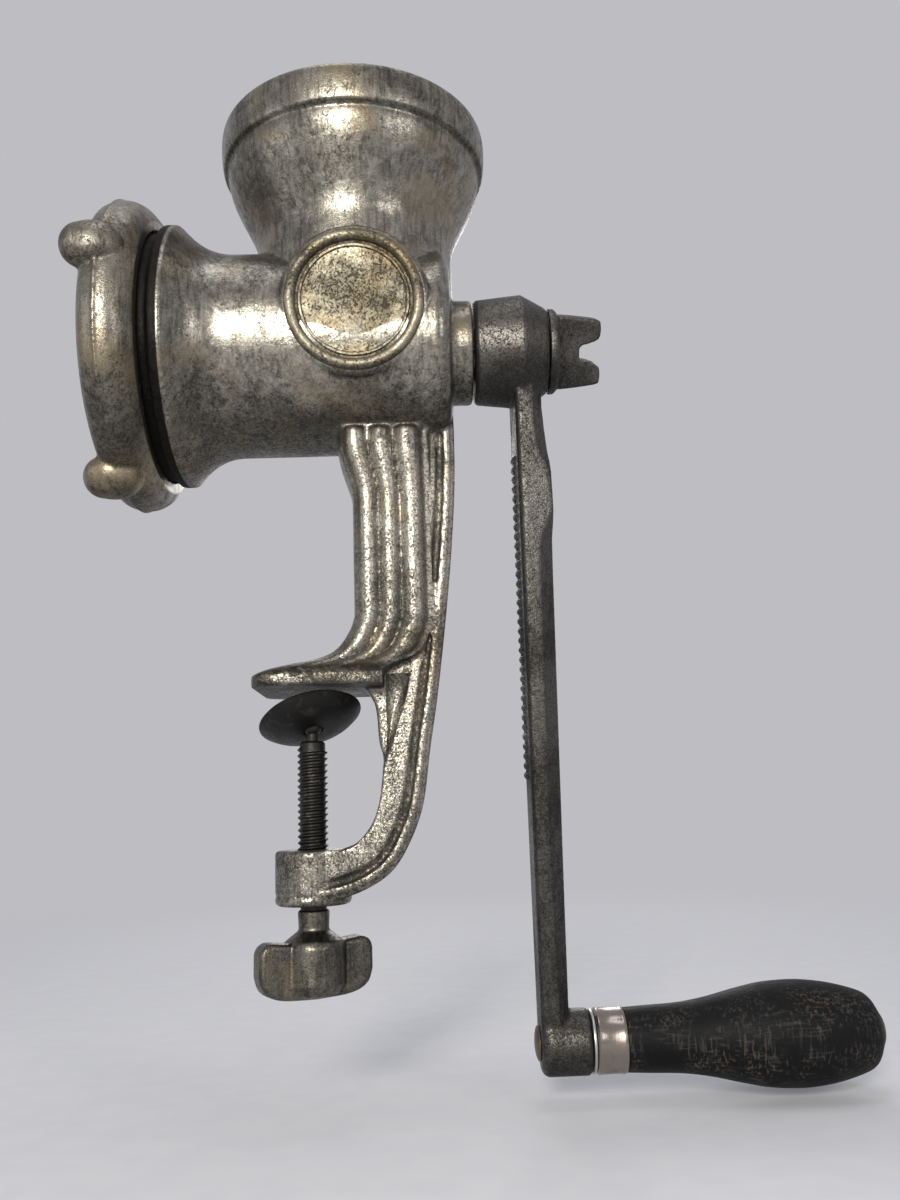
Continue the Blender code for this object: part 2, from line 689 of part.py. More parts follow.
def on_crank_axis(x, parent):
    """A point on the barrel's axis, at a world X, in the frame of a pivot that stands on that axis."""
    return Vector((x - parent.location.x, 0.0, 0.0))


def feed_auger(material, parent):
    front = AUGER_X
    rear = HOPPER_X + BORE_REAR - WASHER_THICKNESS - SEAT_GAP * 2
    shank_start = COLLAR_END_X + SEAT_GAP
    end = HUB_X + HUB_LENGTH - HUB_END_WALL - SEAT_GAP
    profile = [(0.0, shank_start), (JOURNAL_RADIUS, shank_start), (JOURNAL_RADIUS, rear),
               (WASHER_RADIUS, rear), (WASHER_RADIUS, rear - FLIGHT_TIP),
               (AUGER_CORE_REAR, rear - FLIGHT_ROOT), (AUGER_CORE_FRONT, front), (0.0, front)]
    origin = Vector((-parent.location.x, 0.0, 0.0))
    auger = turned("feed_auger", profile, origin, ALONG_X, 32, parent=parent)
    middle = (shank_start + end) / 2 - JOIN_DEPTH / 2
    shank = block("square shank", (SHANK_SQUARE, SHANK_SQUARE, end - shank_start + JOIN_DEPTH),
                  on_crank_axis(middle, parent), ALONG_X, parent=parent)
    combine(auger, "UNION", flight(parent), shank)
    tapped = rod("tapped hole", THUMB_SHANK_RADIUS + RUNNING_GAP, end - SHANK_HOLE_DEPTH, end + OVERRUN,
                 origin, ALONG_X, parent=parent)
    stud_end = front + STUD_DEPTH + SEAT_GAP
    stud_hole = rod("stud hole", STUD_RADIUS + SEAT_GAP, front - OVERRUN, stud_end, origin, ALONG_X,
                    parent=parent)
    combine(auger, "DIFFERENCE", tapped, stud_hole)
    return publish(auger, material)


def auger_thrust_washer(material, parent):
    low = HOPPER_X + BORE_REAR - SEAT_GAP - WASHER_THICKNESS
    inner = JOURNAL_RADIUS + RUNNING_GAP
    high = low + WASHER_THICKNESS
    profile = [(inner, high), (WASHER_RADIUS, high), (WASHER_RADIUS, low), (inner, low)]
    origin = Vector((-parent.location.x, 0.0, 0.0))
    washer = turned("auger_thrust_washer", profile, origin, ALONG_X, 32, True, parent)
    return publish(washer, material)


def auger_front_stud(material, parent):
    origin = Vector((-parent.location.x, 0.0, 0.0))
    stud = rod("auger_front_stud", STUD_RADIUS, PLATE_X + SEAT_GAP, AUGER_X + STUD_DEPTH, origin, ALONG_X,
               parent=parent)
    start, end = KNIFE_X + SEAT_GAP, AUGER_X - SEAT_GAP
    middle = on_crank_axis((start + end) / 2, parent)
    square = block("stud square", (STUD_SQUARE, STUD_SQUARE, end - start), middle, ALONG_X, parent=parent)
    combine(stud, "UNION", square)
    return publish(stud, material)


def knife_outline():
    """Four swept blades round a hub."""
    outline = []
    for blade in range(KNIFE_BLADES):
        turn = math.tau * blade / KNIFE_BLADES
        half = KNIFE_BLADE_WIDTH / 2
        sweep = KNIFE_BLADE_WIDTH * KNIFE_SWEEP_SHARE
        corners = [(KNIFE_HUB_RADIUS * 0.9, -half), (KNIFE_REACH, -half + sweep), (KNIFE_REACH, half + sweep),
                   (KNIFE_HUB_RADIUS * 0.9, half)]
        cos, sin = math.cos(turn), math.sin(turn)
        outline += [(cos * along - sin * across, sin * along + cos * across) for along, across in corners]
    return outline


def cutter_knife(material, parent):
    half = KNIFE_THICKNESS / 2
    centre = on_crank_axis(KNIFE_X + half, parent)
    knife = sheet("cutter_knife", knife_outline(), half, centre, ALONG_X, parent=parent)
    hub = rod("knife hub", KNIFE_HUB_RADIUS, -half, half, centre, ALONG_X, parent=parent)
    combine(knife, "UNION", hub)
    opening = STUD_SQUARE + RUNNING_GAP * 2
    depth = KNIFE_THICKNESS + OVERRUN * 2
    socket = block("knife socket", (opening, opening, depth), centre, ALONG_X, parent=parent)
    combine(knife, "DIFFERENCE", socket)
    return publish(knife, material)


def cutter_plate(material, parent):
    low = PLATE_X
    high = low + PLATE_THICKNESS
    chamfer = PLATE_THICKNESS * 0.1
    origin = Vector((-parent.location.x, 0.0, 0.0))
    profile = [(0.0, high), (PLATE_RADIUS - chamfer, high), (PLATE_RADIUS, high - chamfer),
               (PLATE_RADIUS, low + chamfer), (PLATE_RADIUS - chamfer, low), (0.0, low)]
    plate = turned("cutter_plate", profile, origin, ALONG_X, ROUND_STEPS, parent=parent)
    bm = bmesh.new()
    depth = PLATE_THICKNESS + OVERRUN * 2
    for ring in range(PLATE_RINGS):
        count = PLATE_HOLES_PER_RING * (ring + 1)
        radius = PLATE_RING_START + PLATE_RING_STEP * ring
        for i in range(count):
            turn = math.tau * (i + ring / 2) / count
            centre = Matrix.Translation((radius * math.cos(turn), radius * math.sin(turn), 0.0))
            bmesh.ops.create_cone(bm, cap_ends=True, segments=PLATE_HOLE_STEPS, radius1=PLATE_HOLE_RADIUS,
                                  radius2=PLATE_HOLE_RADIUS, depth=depth, matrix=centre)
    holes = from_bmesh(bm, "plate holes")
    place(holes, on_crank_axis((low + high) / 2, parent), ALONG_X, parent=parent)
    centre_hole = rod("plate centre hole", STUD_RADIUS + RUNNING_GAP, low - OVERRUN, high + OVERRUN, origin,
                      ALONG_X, parent=parent)
    reach = KEY_PROUD + RUNNING_GAP
    foot = on_crank_axis((low + high) / 2, parent) - UP * PLATE_SEAT_RADIUS
    wide = (KEY_RADIUS + SEAT_GAP) * 2
    notch = block("plate notch", (wide, reach * 2, depth), foot, ALONG_X, parent=parent)
    combine(plate, "DIFFERENCE", holes, centre_hole, notch)
    return publish(plate, material)


def ring_nut(material, parent):
    """The ring that holds the plate in: a rounded band with four lugs and an inward lip."""
    back = HOPPER_X - RING_BACK_X
    front = back + RING_WIDTH
    belly = back + RING_WIDTH * 0.5
    lip_back = MOUTH_REACH + PLATE_PROUD + SEAT_GAP
    shoulder = RING_BELLY_RADIUS - RING_BELLY_PROUD * 0.3
    outer = smooth_through([(RING_FRONT_RADIUS, front), (shoulder, front - RING_WIDTH * 0.16),
                            (RING_BELLY_RADIUS, belly), (shoulder, back + RING_WIDTH * 0.2),
                            (RING_BACK_RADIUS, back)], 2)
    profile = [(RING_LIP_RADIUS, front - RING_WIDTH * 0.08)]
    profile += [(RING_LIP_RADIUS + RING_WIDTH * 0.08, front)] + outer
    profile += [(RING_BORE_RADIUS, back), (RING_BORE_RADIUS, lip_back), (RING_LIP_RADIUS, lip_back)]
    origin = Vector((HOPPER_X - parent.location.x, 0.0, 0.0))
    ring = turned("ring_nut", profile, origin, TOWARDS_MOUTH, closed=True, parent=parent)
    lugs = []
    for i in range(RING_LUGS):
        turn = RING_LUG_TURN + math.tau * i / RING_LUGS
        bm = bmesh.new()
        bmesh.ops.create_uvsphere(bm, u_segments=12, v_segments=8, radius=0.5)
        length = RING_WIDTH + LUG_FORWARD
        height = RING_BELLY_RADIUS + LUG_PROUD - RING_BORE_RADIUS - RING_WALL / 4
        bmesh.ops.scale(bm, verts=bm.verts, vec=(length, height, LUG_WIDTH))
        lug = from_bmesh(bm, f"ring lug {i}")
        out = RING_BELLY_RADIUS + LUG_PROUD - height / 2
        middle = -(back + front + LUG_FORWARD) / 2
        lug.matrix_world = (Matrix.Translation(origin) @ Matrix.Rotation(-turn, 4, "X")
                            @ Matrix.Translation((middle, -out, 0.0)))
        lug.parent = parent
        lug.matrix_parent_inverse = Matrix.Identity(4)
        lugs.append(lug)
    combine(ring, "UNION", *lugs)
    return publish(ring, material)


def arm_section(drop, x, thick, wide, chamfer):
    """One outline of the crank's arm: a box with its edges cut, deepest on the side away from the hub."""
    half = wide / 2
    near = thick * 0.12
    left, right = x, x + thick
    return [(left + near, -half, drop), (right - chamfer, -half, drop), (right, -half + chamfer, drop),
            (right, half - chamfer, drop), (right - chamfer, half, drop), (left + near, half, drop),
            (left, half - near, drop), (left, -half + near, drop)]


def crank_arm(material, parent):
    hub_start = HUB_X
    ridge = HUB_X + HUB_RIDGE_PLACE
    origin = Vector((-parent.location.x, 0.0, 0.0))
    edge = HUB_REAR_RADIUS * 0.05
    profile = [(0.0, HUB_END_X), (HUB_FRONT_RADIUS - edge, HUB_END_X), (HUB_FRONT_RADIUS, HUB_END_X - edge),
               (HUB_RIDGE_RADIUS, ridge), (HUB_REAR_RADIUS, hub_start + edge),
               (HUB_REAR_RADIUS - edge, hub_start), (0.0, hub_start)]
    arm = turned("crank_arm", profile, origin, ALONG_X, 32, parent=parent)
    sections = []
    top_x = HUB_X + ARM_OFFSET
    # Distance from the axis as a share of the crank's length, and the chamfer as a share of the thickness
    stations = ((ARM_START / CRANK_LENGTH, 0.40), (0.15, 0.42), (0.22, 0.30), (KNUCKLE_PLACE_SHARE, 0.12),
                (0.30, 0.14), (0.36, 0.42), (0.60, 0.46), (0.80, 0.46), (0.92, 0.40), (0.985, 0.34))
    for share, chamfer in stations:
        thick = ARM_THICK_TOP + (ARM_THICK_END - ARM_THICK_TOP) * share
        wide = ARM_WIDE_TOP + (ARM_WIDE_END - ARM_WIDE_TOP) * share
        x = top_x + ARM_LEAN * share - parent.location.x
        sections.append(arm_section(-CRANK_LENGTH * share, x, thick, wide, thick * chamfer))
    bar = loft("crank bar", sections, parent=parent)
    end_round = BOSS_END_RADIUS * 0.28
    start, stop = END_BOSS_X, END_BOSS_X + BOSS_END_LENGTH
    boss_profile = [(0.0, stop), (BOSS_END_RADIUS - edge, stop), (BOSS_END_RADIUS, stop - edge)]
    boss_profile += arc((BOSS_END_RADIUS - end_round, start + end_round), end_round, 0.0, -math.pi / 2, 3)
    boss_profile.append((0.0, start))
    grip_axis = origin - UP * CRANK_LENGTH
    boss = turned("crank end boss", boss_profile, grip_axis, ALONG_X, 32, parent=parent)
    combine(arm, "UNION", bar, boss)
    opening = SHANK_SQUARE + RUNNING_GAP * 2
    wall_start = HUB_END_X - HUB_END_WALL
    socket = block("hub socket", (opening, opening, wall_start - hub_start + OVERRUN),
                   on_crank_axis((wall_start + hub_start - OVERRUN) / 2, parent), ALONG_X, parent=parent)
    screw_hole = rod("hub screw hole", THUMB_SHANK_RADIUS + RUNNING_GAP, wall_start - OVERRUN,
                     HUB_END_X + OVERRUN, origin, ALONG_X, parent=parent)
    spindle_hole = rod("spindle hole", SPINDLE_RADIUS + SEAT_GAP, start - OVERRUN, stop + OVERRUN, grip_axis,
                       ALONG_X, parent=parent)
    combine(arm, "DIFFERENCE", socket, screw_hole, spindle_hole)
    return publish(arm, material)


def crank_thumb_screw(material, parent):
    """The screw that holds the crank on: a round flange, a two-eared thumb piece and a shank."""
    origin = Vector((-parent.location.x, 0.0, 0.0))
    flange_end = THUMB_X + THUMB_FLANGE_THICKNESS
    edge = THUMB_FLANGE_THICKNESS * 0.4
    shank_end = THUMB_X - THUMB_SHANK_LENGTH
    profile = [(0.0, flange_end), (THUMB_FLANGE_RADIUS - edge, flange_end),
               (THUMB_FLANGE_RADIUS, flange_end - edge), (THUMB_FLANGE_RADIUS, THUMB_X),
               (THUMB_SHANK_RADIUS, THUMB_X), (THUMB_SHANK_RADIUS, shank_end), (0.0, shank_end)]
    screw = turned("crank_thumb_screw", profile, origin, ALONG_X, 28, parent=parent)
    foot = THUMB_X + JOIN_DEPTH
    half = [(foot + THUMB_LENGTH * along, THUMB_HALF_SPAN * across) for along, across in THUMB_SHARES]
    outline = half + [(along, -across) for along, across in reversed(half)]
    ears = sheet("thumb ears", outline, THUMB_THICKNESS / 2, Vector(), round_width=THUMB_THICKNESS * 0.16)
    upright = Matrix.Rotation(math.pi / 2, 4, "X")
    ears.matrix_world = Matrix.Translation(origin) @ Matrix.Rotation(THUMB_TURN, 4, "X") @ upright
    ears.parent = parent
    ears.matrix_parent_inverse = Matrix.Identity(4)
    combine(screw, "UNION", ears)
    return publish(screw, material)


def grip_point(parent):
    return Vector((-parent.location.x, 0.0, -CRANK_LENGTH))


def handle_grip(material, parent):
    start = GRIP_X + FERRULE_LENGTH
    seat = FERRULE_RADIUS - FERRULE_WALL - RUNNING_GAP
    bore = SPINDLE_RADIUS + GRIP_BORE_GAP
    rear = GRIP_X + SEAT_GAP
    outline = [(GRIP_RADIUS * radius, start + GRIP_LENGTH * along) for along, radius in GRIP_SHARES]
    profile = [(bore, GRIP_END_X)] + outline[::-1] + [(seat, start), (seat, rear), (bore, rear)]
    grip = turned("handle_grip", profile, grip_point(parent), ALONG_X, 32, True, parent)
    return publish(grip, material)


def handle_ferrule(material, parent):
    start, end = GRIP_X, GRIP_X + FERRULE_LENGTH - SEAT_GAP
    inner = FERRULE_RADIUS - FERRULE_WALL
    edge = FERRULE_WALL * 0.8
    profile = [(inner, end), (FERRULE_RADIUS, end), (FERRULE_RADIUS, start + edge),
               (FERRULE_RADIUS - edge, start), (inner, start)]
    ferrule = turned("handle_ferrule", profile, grip_point(parent), ALONG_X, 32, True, parent)
    return publish(ferrule, material)


def handle_washer(material, parent):
    start = END_BOSS_X + BOSS_END_LENGTH + SEAT_GAP
    end = start + HANDLE_WASHER_THICKNESS
    bore = SPINDLE_RADIUS + GRIP_BORE_GAP
    profile = [(bore, end), (HANDLE_WASHER_RADIUS, end), (HANDLE_WASHER_RADIUS, start), (bore, start)]
    washer = turned("handle_washer", profile, grip_point(parent), ALONG_X, SMALL_STEPS, True, parent)
    return publish(washer, material)


def handle_spindle(material, parent):
    """The rivet on which the grip turns: peened over at the crank, domed at the free end."""
    left = END_BOSS_X - SEAT_GAP
    right = GRIP_END_X + SEAT_GAP
    dome = right + SPINDLE_HEAD_RISE
    profile = [(0.0, dome), (SPINDLE_HEAD_RADIUS * 0.55, right + SPINDLE_HEAD_RISE * 0.86),
               (SPINDLE_HEAD_RADIUS * 0.86, right + SPINDLE_HEAD_RISE * 0.5), (SPINDLE_HEAD_RADIUS, right),
               (SPINDLE_RADIUS, right), (SPINDLE_RADIUS, left), (PEENED_RADIUS, left),
               (PEENED_RADIUS * 0.85, left - PEENED_RISE * 0.7), (0.0, left - PEENED_RISE)]
    spindle = turned("handle_spindle", profile, grip_point(parent), ALONG_X, SMALL_STEPS, parent=parent)
    return publish(spindle, material)


def clamp_screw(material, parent):
    low = WING_TOP_Z - WING_HEIGHT + WING_DOME
    edge = SCREW_RADIUS * 0.15
    profile = [(0.0, -SCREW_TOP), (SCREW_RADIUS - edge, -SCREW_TOP), (SCREW_RADIUS, -SCREW_TOP - edge),
               (SCREW_RADIUS, low), (0.0, low)]
    screw = turned("clamp_screw", profile, -parent.location, steps=SMALL_STEPS, parent=parent)
    hole = rod("swivel hole", BALL_STEM_RADIUS + RUNNING_GAP, -SCREW_TOP - BALL_STEM_DEPTH - SEAT_GAP,
               OVERRUN - SCREW_TOP, -parent.location, steps=12, parent=parent)
    combine(screw, "DIFFERENCE", hole)
    return publish(screw, material)


def clamp_wing_handle(material, parent):
    """The two-winged cast head on the foot of the screw, with a rounded underside."""
    bottom = WING_TOP_Z - WING_HEIGHT
    neck = WING_NECK_HEIGHT
    profile = [(0.0, WING_TOP_Z + neck), (WING_HUB_RADIUS * 0.72, WING_TOP_Z + neck),
               (WING_HUB_RADIUS * 0.85, WING_TOP_Z), (WING_HUB_RADIUS, WING_TOP_Z - neck),
               (WING_HUB_RADIUS, bottom + WING_DOME), (WING_HUB_RADIUS * 0.8, bottom + WING_DOME * 0.35),
               (0.0, bottom)]
    head = turned("clamp_wing_handle", profile, -parent.location, steps=24, parent=parent)
    half = WING_SPAN / 2
    corner = WING_HEIGHT * 0.22
    low = smooth_through([(half, bottom + WING_HEIGHT * 0.42), (half * 0.9, bottom + WING_HEIGHT * 0.18),
                          (half * 0.6, bottom + WING_HEIGHT * 0.04), (0.0, bottom)], 3)
    right = [(0.0, WING_TOP_Z - neck), (half - corner, WING_TOP_Z)] + arc(
        (half - corner, WING_TOP_Z - corner), corner, math.pi / 2, 0.0, 3)[1:] + low
    outline = right + [(-across, high) for across, high in reversed(right[1:-1])]
    wings = sheet("wing pair", outline, WING_THICKNESS / 2, Vector(), round_width=WING_THICKNESS * 0.2)
    wings.matrix_world = (Matrix.Translation(-parent.location) @ Matrix.Rotation(WING_TURN, 4, "Z")
                          @ Matrix.Rotation(math.pi / 2, 4, "X"))
    wings.parent = parent
    wings.matrix_parent_inverse = Matrix.Identity(4)
    combine(head, "UNION", wings)
    socket = rod("wing socket", SCREW_RADIUS + SEAT_GAP, bottom + WING_DOME - SEAT_GAP,
                 WING_TOP_Z + neck + OVERRUN, -parent.location, parent=parent)
    combine(head, "DIFFERENCE", socket)
    return publish(head, material)


def pad_ball_stud(material, parent):
    """The swivel stud in the end of the screw, with the ball on which the pad tilts."""
    foot = -SCREW_TOP - BALL_STEM_DEPTH
    steps = 6
    ball = []
    for i in range(steps):
        angle = math.pi / 2 - math.pi * 0.8 * i / (steps - 1)
        ball.append((BALL_RADIUS * math.cos(angle), BALL_Z + BALL_RADIUS * math.sin(angle)))
    profile = ball + [(BALL_STEM_RADIUS, ball[-1][1]), (BALL_STEM_RADIUS, foot), (0.0, foot)]
    profile[0] = (0.0, BALL_Z + BALL_RADIUS)
    stud = turned("pad_ball_stud", profile, -parent.location, steps=SMALL_STEPS, parent=parent)
    return publish(stud, material)


def clamp_pad(material, parent):
    """A shallow dish, hollow side up, with a socket under it that closes round the ball."""
    hole = BALL_RADIUS + RUNNING_GAP
    profile = [(hole * 0.62, BALL_RADIUS + RUNNING_GAP), (PAD_SOCKET_RADIUS, BALL_RADIUS + RUNNING_GAP)]
    profile += [(PAD_SOCKET_RADIUS + PAD_THICKNESS, 0.0), (PAD_RADIUS - PAD_THICKNESS, PAD_DISH * 0.8),
                (PAD_RADIUS - PAD_THICKNESS * 0.5, PAD_DISH), (PAD_RADIUS, PAD_DISH * 0.75)]
    profile += [(PAD_RADIUS * 0.8, PAD_DISH * 0.05), (PAD_RADIUS * 0.5, -PAD_THICKNESS * 0.8)]
    profile += [(hole * 0.86, -hole * 0.55)]
    profile += [(hole, 0.0), (hole * 0.86, hole * 0.5)]
    pad = turned("clamp_pad", profile, Vector(), steps=32, closed=True, parent=parent)
    return publish(pad, material)


def build():
    cast = make_material("tinned cast iron", (0.36, 0.34, 0.29), 0.42, 0.9)
    dark_cast = make_material("dark cast iron", (0.17, 0.165, 0.15), 0.55, 0.8)
    steel = make_material("bright steel", (0.55, 0.54, 0.52), 0.3, 1.0)
    black_steel = make_material("blackened steel", (0.05, 0.05, 0.05), 0.45, 0.8)
    fibre = make_material("washer fibre", (0.25, 0.14, 0.08), 0.8, 0.0)
    tin = make_material("tinned ferrule", (0.62, 0.58, 0.53), 0.25, 1.0)
    wood = make_material("black painted wood", (0.02, 0.02, 0.022), 0.55, 0.0)
    body_casting(cast)
    plate_key_pin(steel)
    crank_pivot = pivot("crank_pivot", BARREL_AXIS_POINT, (CRANK_SWING, 0.0, 0.0))
    feed_auger(cast, crank_pivot)
    auger_thrust_washer(fibre, crank_pivot)
    auger_front_stud(steel, crank_pivot)
    cutter_knife(steel, crank_pivot)
    crank_arm(dark_cast, crank_pivot)
    crank_thumb_screw(dark_cast, crank_pivot)
    handle_washer(dark_cast, crank_pivot)
    handle_spindle(dark_cast, crank_pivot)
    handle_ferrule(tin, crank_pivot)
    handle_grip(wood, crank_pivot)
    plate_pivot = pivot("plate_pivot", BARREL_AXIS_POINT)
    cutter_plate(steel, plate_pivot)
    ring_nut(cast, plate_pivot)
    screw_pivot = pivot("screw_pivot", Vector())
    clamp_screw(black_steel, screw_pivot)
    clamp_wing_handle(cast, screw_pivot)
    pad_ball_stud(black_steel, screw_pivot)
    pad_pivot = pivot("pad_pivot", Vector((0.0, 0.0, BALL_Z)))
    tilt_axis = Vector((-math.cos(PAD_TILT_HEADING), -math.sin(PAD_TILT_HEADING), 0.0))
    pad_pivot.rotation_mode = "QUATERNION"
    pad_pivot.rotation_quaternion = Matrix.Rotation(PAD_TILT, 3, tilt_axis).to_quaternion()
    clamp_pad(black_steel, pad_pivot)


build()
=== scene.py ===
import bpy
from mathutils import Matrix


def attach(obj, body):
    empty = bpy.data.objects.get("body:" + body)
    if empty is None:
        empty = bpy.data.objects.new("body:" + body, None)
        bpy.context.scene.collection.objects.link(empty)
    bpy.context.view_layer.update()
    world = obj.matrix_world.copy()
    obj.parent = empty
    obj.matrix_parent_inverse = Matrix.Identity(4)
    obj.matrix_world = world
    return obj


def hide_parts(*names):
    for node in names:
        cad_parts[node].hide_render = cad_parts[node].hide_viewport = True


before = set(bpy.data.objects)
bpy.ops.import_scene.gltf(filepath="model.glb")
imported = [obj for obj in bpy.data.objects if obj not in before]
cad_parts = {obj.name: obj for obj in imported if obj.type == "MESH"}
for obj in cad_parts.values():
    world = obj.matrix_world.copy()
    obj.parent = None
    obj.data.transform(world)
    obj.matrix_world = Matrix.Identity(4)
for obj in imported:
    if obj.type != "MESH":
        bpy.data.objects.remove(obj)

"""Dressed scene of a hand cranked meat grinder with a table clamp.

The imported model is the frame: metres, +Z up, origin on the underside of the clamp's jaw on the axis of
the clamp screw. The barrel lies along X, its mouth towards -X and its crank towards +X, and the
camera looks from -Y. Each sub-assembly is a class that shapes its pieces and dresses them.
"""
import logging
import math
from dataclasses import dataclass
from enum import Enum
from typing import Callable, Sequence, Union

import bmesh
import bpy
from mathutils import Matrix, Vector

LOG = logging.getLogger("grinder")
Profile = Sequence[tuple[float, float]]
Colour = tuple[float, float, float]
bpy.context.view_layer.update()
AXIS_HEIGHT = 0.0960
HOPPER_PLACE = 0.0138
CRANK_SWING = math.radians(7.1)
CLEAR = 0.001  # how far a cutter reaches past the face that it opens
UPRIGHT = Matrix.Rotation(math.pi / 2, 4, "X")
SIDEWAYS = Matrix.Rotation(math.pi / 2, 4, "Y")
CRANK_TURN = Matrix.Translation((0.0, 0.0, AXIS_HEIGHT)) @ Matrix.Rotation(CRANK_SWING, 4, "X")
ALONG_CRANK = CRANK_TURN @ SIDEWAYS
ALONG_BARREL = Matrix.Translation((0.0, 0.0, AXIS_HEIGHT)) @ SIDEWAYS
UNDER_HOPPER = Matrix.Translation((HOPPER_PLACE, 0.0, AXIS_HEIGHT))
TOWARDS_MOUTH = UNDER_HOPPER @ Matrix.Rotation(-math.pi / 2, 4, "Y")


class Cut(Enum):
    """How a second solid changes the first."""

    JOIN = "UNION"
    REMOVE = "DIFFERENCE"


class Solid:
    """A mesh being shaped with bmesh operators."""

    def __init__(self) -> None:
        """Start with nothing."""
        self.bm = bmesh.new()

    def lathe(self, profile: Profile, steps: int = 128, closed: bool = False) -> "Solid":
        """Turn a profile of radius and height about local Z.

        Args:
            profile: Radius and height of each point.
            steps: Steps round the axis.
            closed: Whether the last point joins the first, as in a ring.

        Returns:
            This solid.
        """
        dots = [self.bm.verts.new((radius, 0.0, height)) for radius, height in profile]
        pairs = list(zip(dots, dots[1:])) + ([(dots[-1], dots[0])] if closed else [])
        edges = [self.bm.edges.new(pair) for pair in pairs]
        bmesh.ops.spin(self.bm, geom=dots + edges, cent=(0, 0, 0), axis=(0, 0, 1), dvec=(0, 0, 0),
                       angle=math.tau, steps=steps, use_merge=True, use_duplicate=False)
        return self.weld()

    def drum(self, radius: float, top: float, bottom: float, steps: int = 128) -> "Solid":
        """Turn a plain cylinder between two heights about local Z."""
        return self.lathe([(0.0, top), (radius, top), (radius, bottom), (0.0, bottom)], steps)

    def slab(self, outline: Profile, half: float, rounding: float) -> "Solid":
        """Give an outline in local X and Y a thickness each way along local Z.

        Args:
            outline: Corners of the outline.
            half: Half the thickness.
            rounding: Width of the rounded edges of both faces.

        Returns:
            This solid.
        """
        face = self.bm.faces.new([self.bm.verts.new((x, y, -half)) for x, y in outline])
        top = bmesh.ops.extrude_face_region(self.bm, geom=[face], use_keep_orig=True)["geom"]
        raised = [item for item in top if isinstance(item, bmesh.types.BMVert)]
        bmesh.ops.translate(self.bm, verts=raised, vec=(0.0, 0.0, 2 * half))
        self.weld()
        flat = [edge for edge in self.bm.edges if abs(edge.verts[0].co.z - edge.verts[1].co.z) < 1e-7]
        bmesh.ops.bevel(self.bm, geom=flat, offset=rounding, offset_type="OFFSET", segments=3,
                        profile=0.5, affect="EDGES", clamp_overlap=True, material=-1)
        return self

    def skin(self, loops: Sequence[Sequence[Vector]]) -> "Solid":
        """Bridge closed loops of points into one capped body.

        Args:
            loops: Outlines with the same number of points each.

        Returns:
            This solid.
        """
        rings = []
        for loop in loops:
            dots = [self.bm.verts.new(point) for point in loop]
            rings.append([self.bm.edges.new(pair) for pair in zip(dots, dots[1:] + dots[:1])])
        for low, high in zip(rings, rings[1:]):
            bmesh.ops.bridge_loops(self.bm, edges=low + high)
        for ring in (rings[0], rings[-1]):
            bmesh.ops.contextual_create(self.bm, geom=ring)
        return self.weld()

    def coil(self, section: Profile, rise: float, turns: float, steps: int) -> "Solid":
        """Carry a section of radius and height round local Z while it climbs.

        Args:
            section: Radius and height of its corners.
            rise: Climb over all the turns.
            turns: Number of turns.
            steps: Steps over all the turns.

        Returns:
            This solid.
        """
        face = self.bm.faces.new([self.bm.verts.new((radius, 0.0, height)) for radius, height in section])
        start = list(face.verts) + list(face.edges) + [face]
        bmesh.ops.spin(self.bm, geom=start, cent=(0, 0, 0), axis=(0, 0, 1), dvec=(0, 0, rise / steps),
                       angle=math.tau * turns, steps=steps, use_merge=False, use_duplicate=False)
        bmesh.ops.recalc_face_normals(self.bm, faces=self.bm.faces)
        return self

    def egg(self, size: tuple[float, float, float], steps: int = 32) -> "Solid":
        """Add an ellipsoid of a given size about the origin."""
        bmesh.ops.create_uvsphere(self.bm, u_segments=steps, v_segments=steps // 2, radius=0.5)
        bmesh.ops.scale(self.bm, verts=self.bm.verts, vec=size)
        return self

    def brick(self, size: tuple[float, float, float]) -> "Solid":
        """Add a block of a given size about the origin."""
        bmesh.ops.create_cube(self.bm, size=1.0)
        bmesh.ops.scale(self.bm, verts=self.bm.verts, vec=size)
        return self

    def weld(self) -> "Solid":
        """Merge doubles and turn every face outwards."""
        bmesh.ops.remove_doubles(self.bm, verts=self.bm.verts, dist=1e-7)
        bmesh.ops.recalc_face_normals(self.bm, faces=self.bm.faces)
        return self

    def put(self, place: Matrix) -> "Solid":
        """Move the whole solid to its place."""
        bmesh.ops.transform(self.bm, matrix=place, verts=self.bm.verts)
        return self

    def add(self, *others: "Solid") -> "Solid":
        """Take other solids into this one, each as its own shell."""
        for other in others:
            mesh = bpy.data.meshes.new("part")
            other.bm.to_mesh(mesh)
            other.bm.free()
            self.bm.from_mesh(mesh)
            bpy.data.meshes.remove(mesh)
        return self

    def done(self, name: str) -> bpy.types.Object:
        """Turn the shape into an object in the scene.

        Args:
            name: Name of the object.

        Returns:
            The object, at the origin, with its place in its mesh.
        """
        mesh = bpy.data.meshes.new(name)
        self.bm.to_mesh(mesh)
        self.bm.free()
        made = bpy.data.objects.new(name, mesh)
        bpy.context.scene.collection.objects.link(made)
        return made


def settle(piece: bpy.types.Object) -> None:
    """Apply all modifiers of a piece to its mesh."""
    bpy.context.view_layer.update()
    graph = bpy.context.evaluated_depsgraph_get()
    old = piece.data
    piece.data = bpy.data.meshes.new_from_object(piece.evaluated_get(graph))
    piece.modifiers.clear()
    bpy.data.meshes.remove(old)


def cast(piece: bpy.types.Object, voxel: float, passes: int) -> None:
    """Fuse overlapping shells into one skin with soft inner corners, as sand casting leaves them.

    Args:
        piece: The piece to fuse.
        voxel: Size of the grid.
        passes: Passes of smoothing.
    """
    remesh = piece.modifiers.new("fuse", "REMESH")
    remesh.mode = "VOXEL"
    remesh.voxel_size = voxel
    smooth = piece.modifiers.new("soften", "SMOOTH")
    smooth.factor = 0.5
    smooth.iterations = passes
    settle(piece)


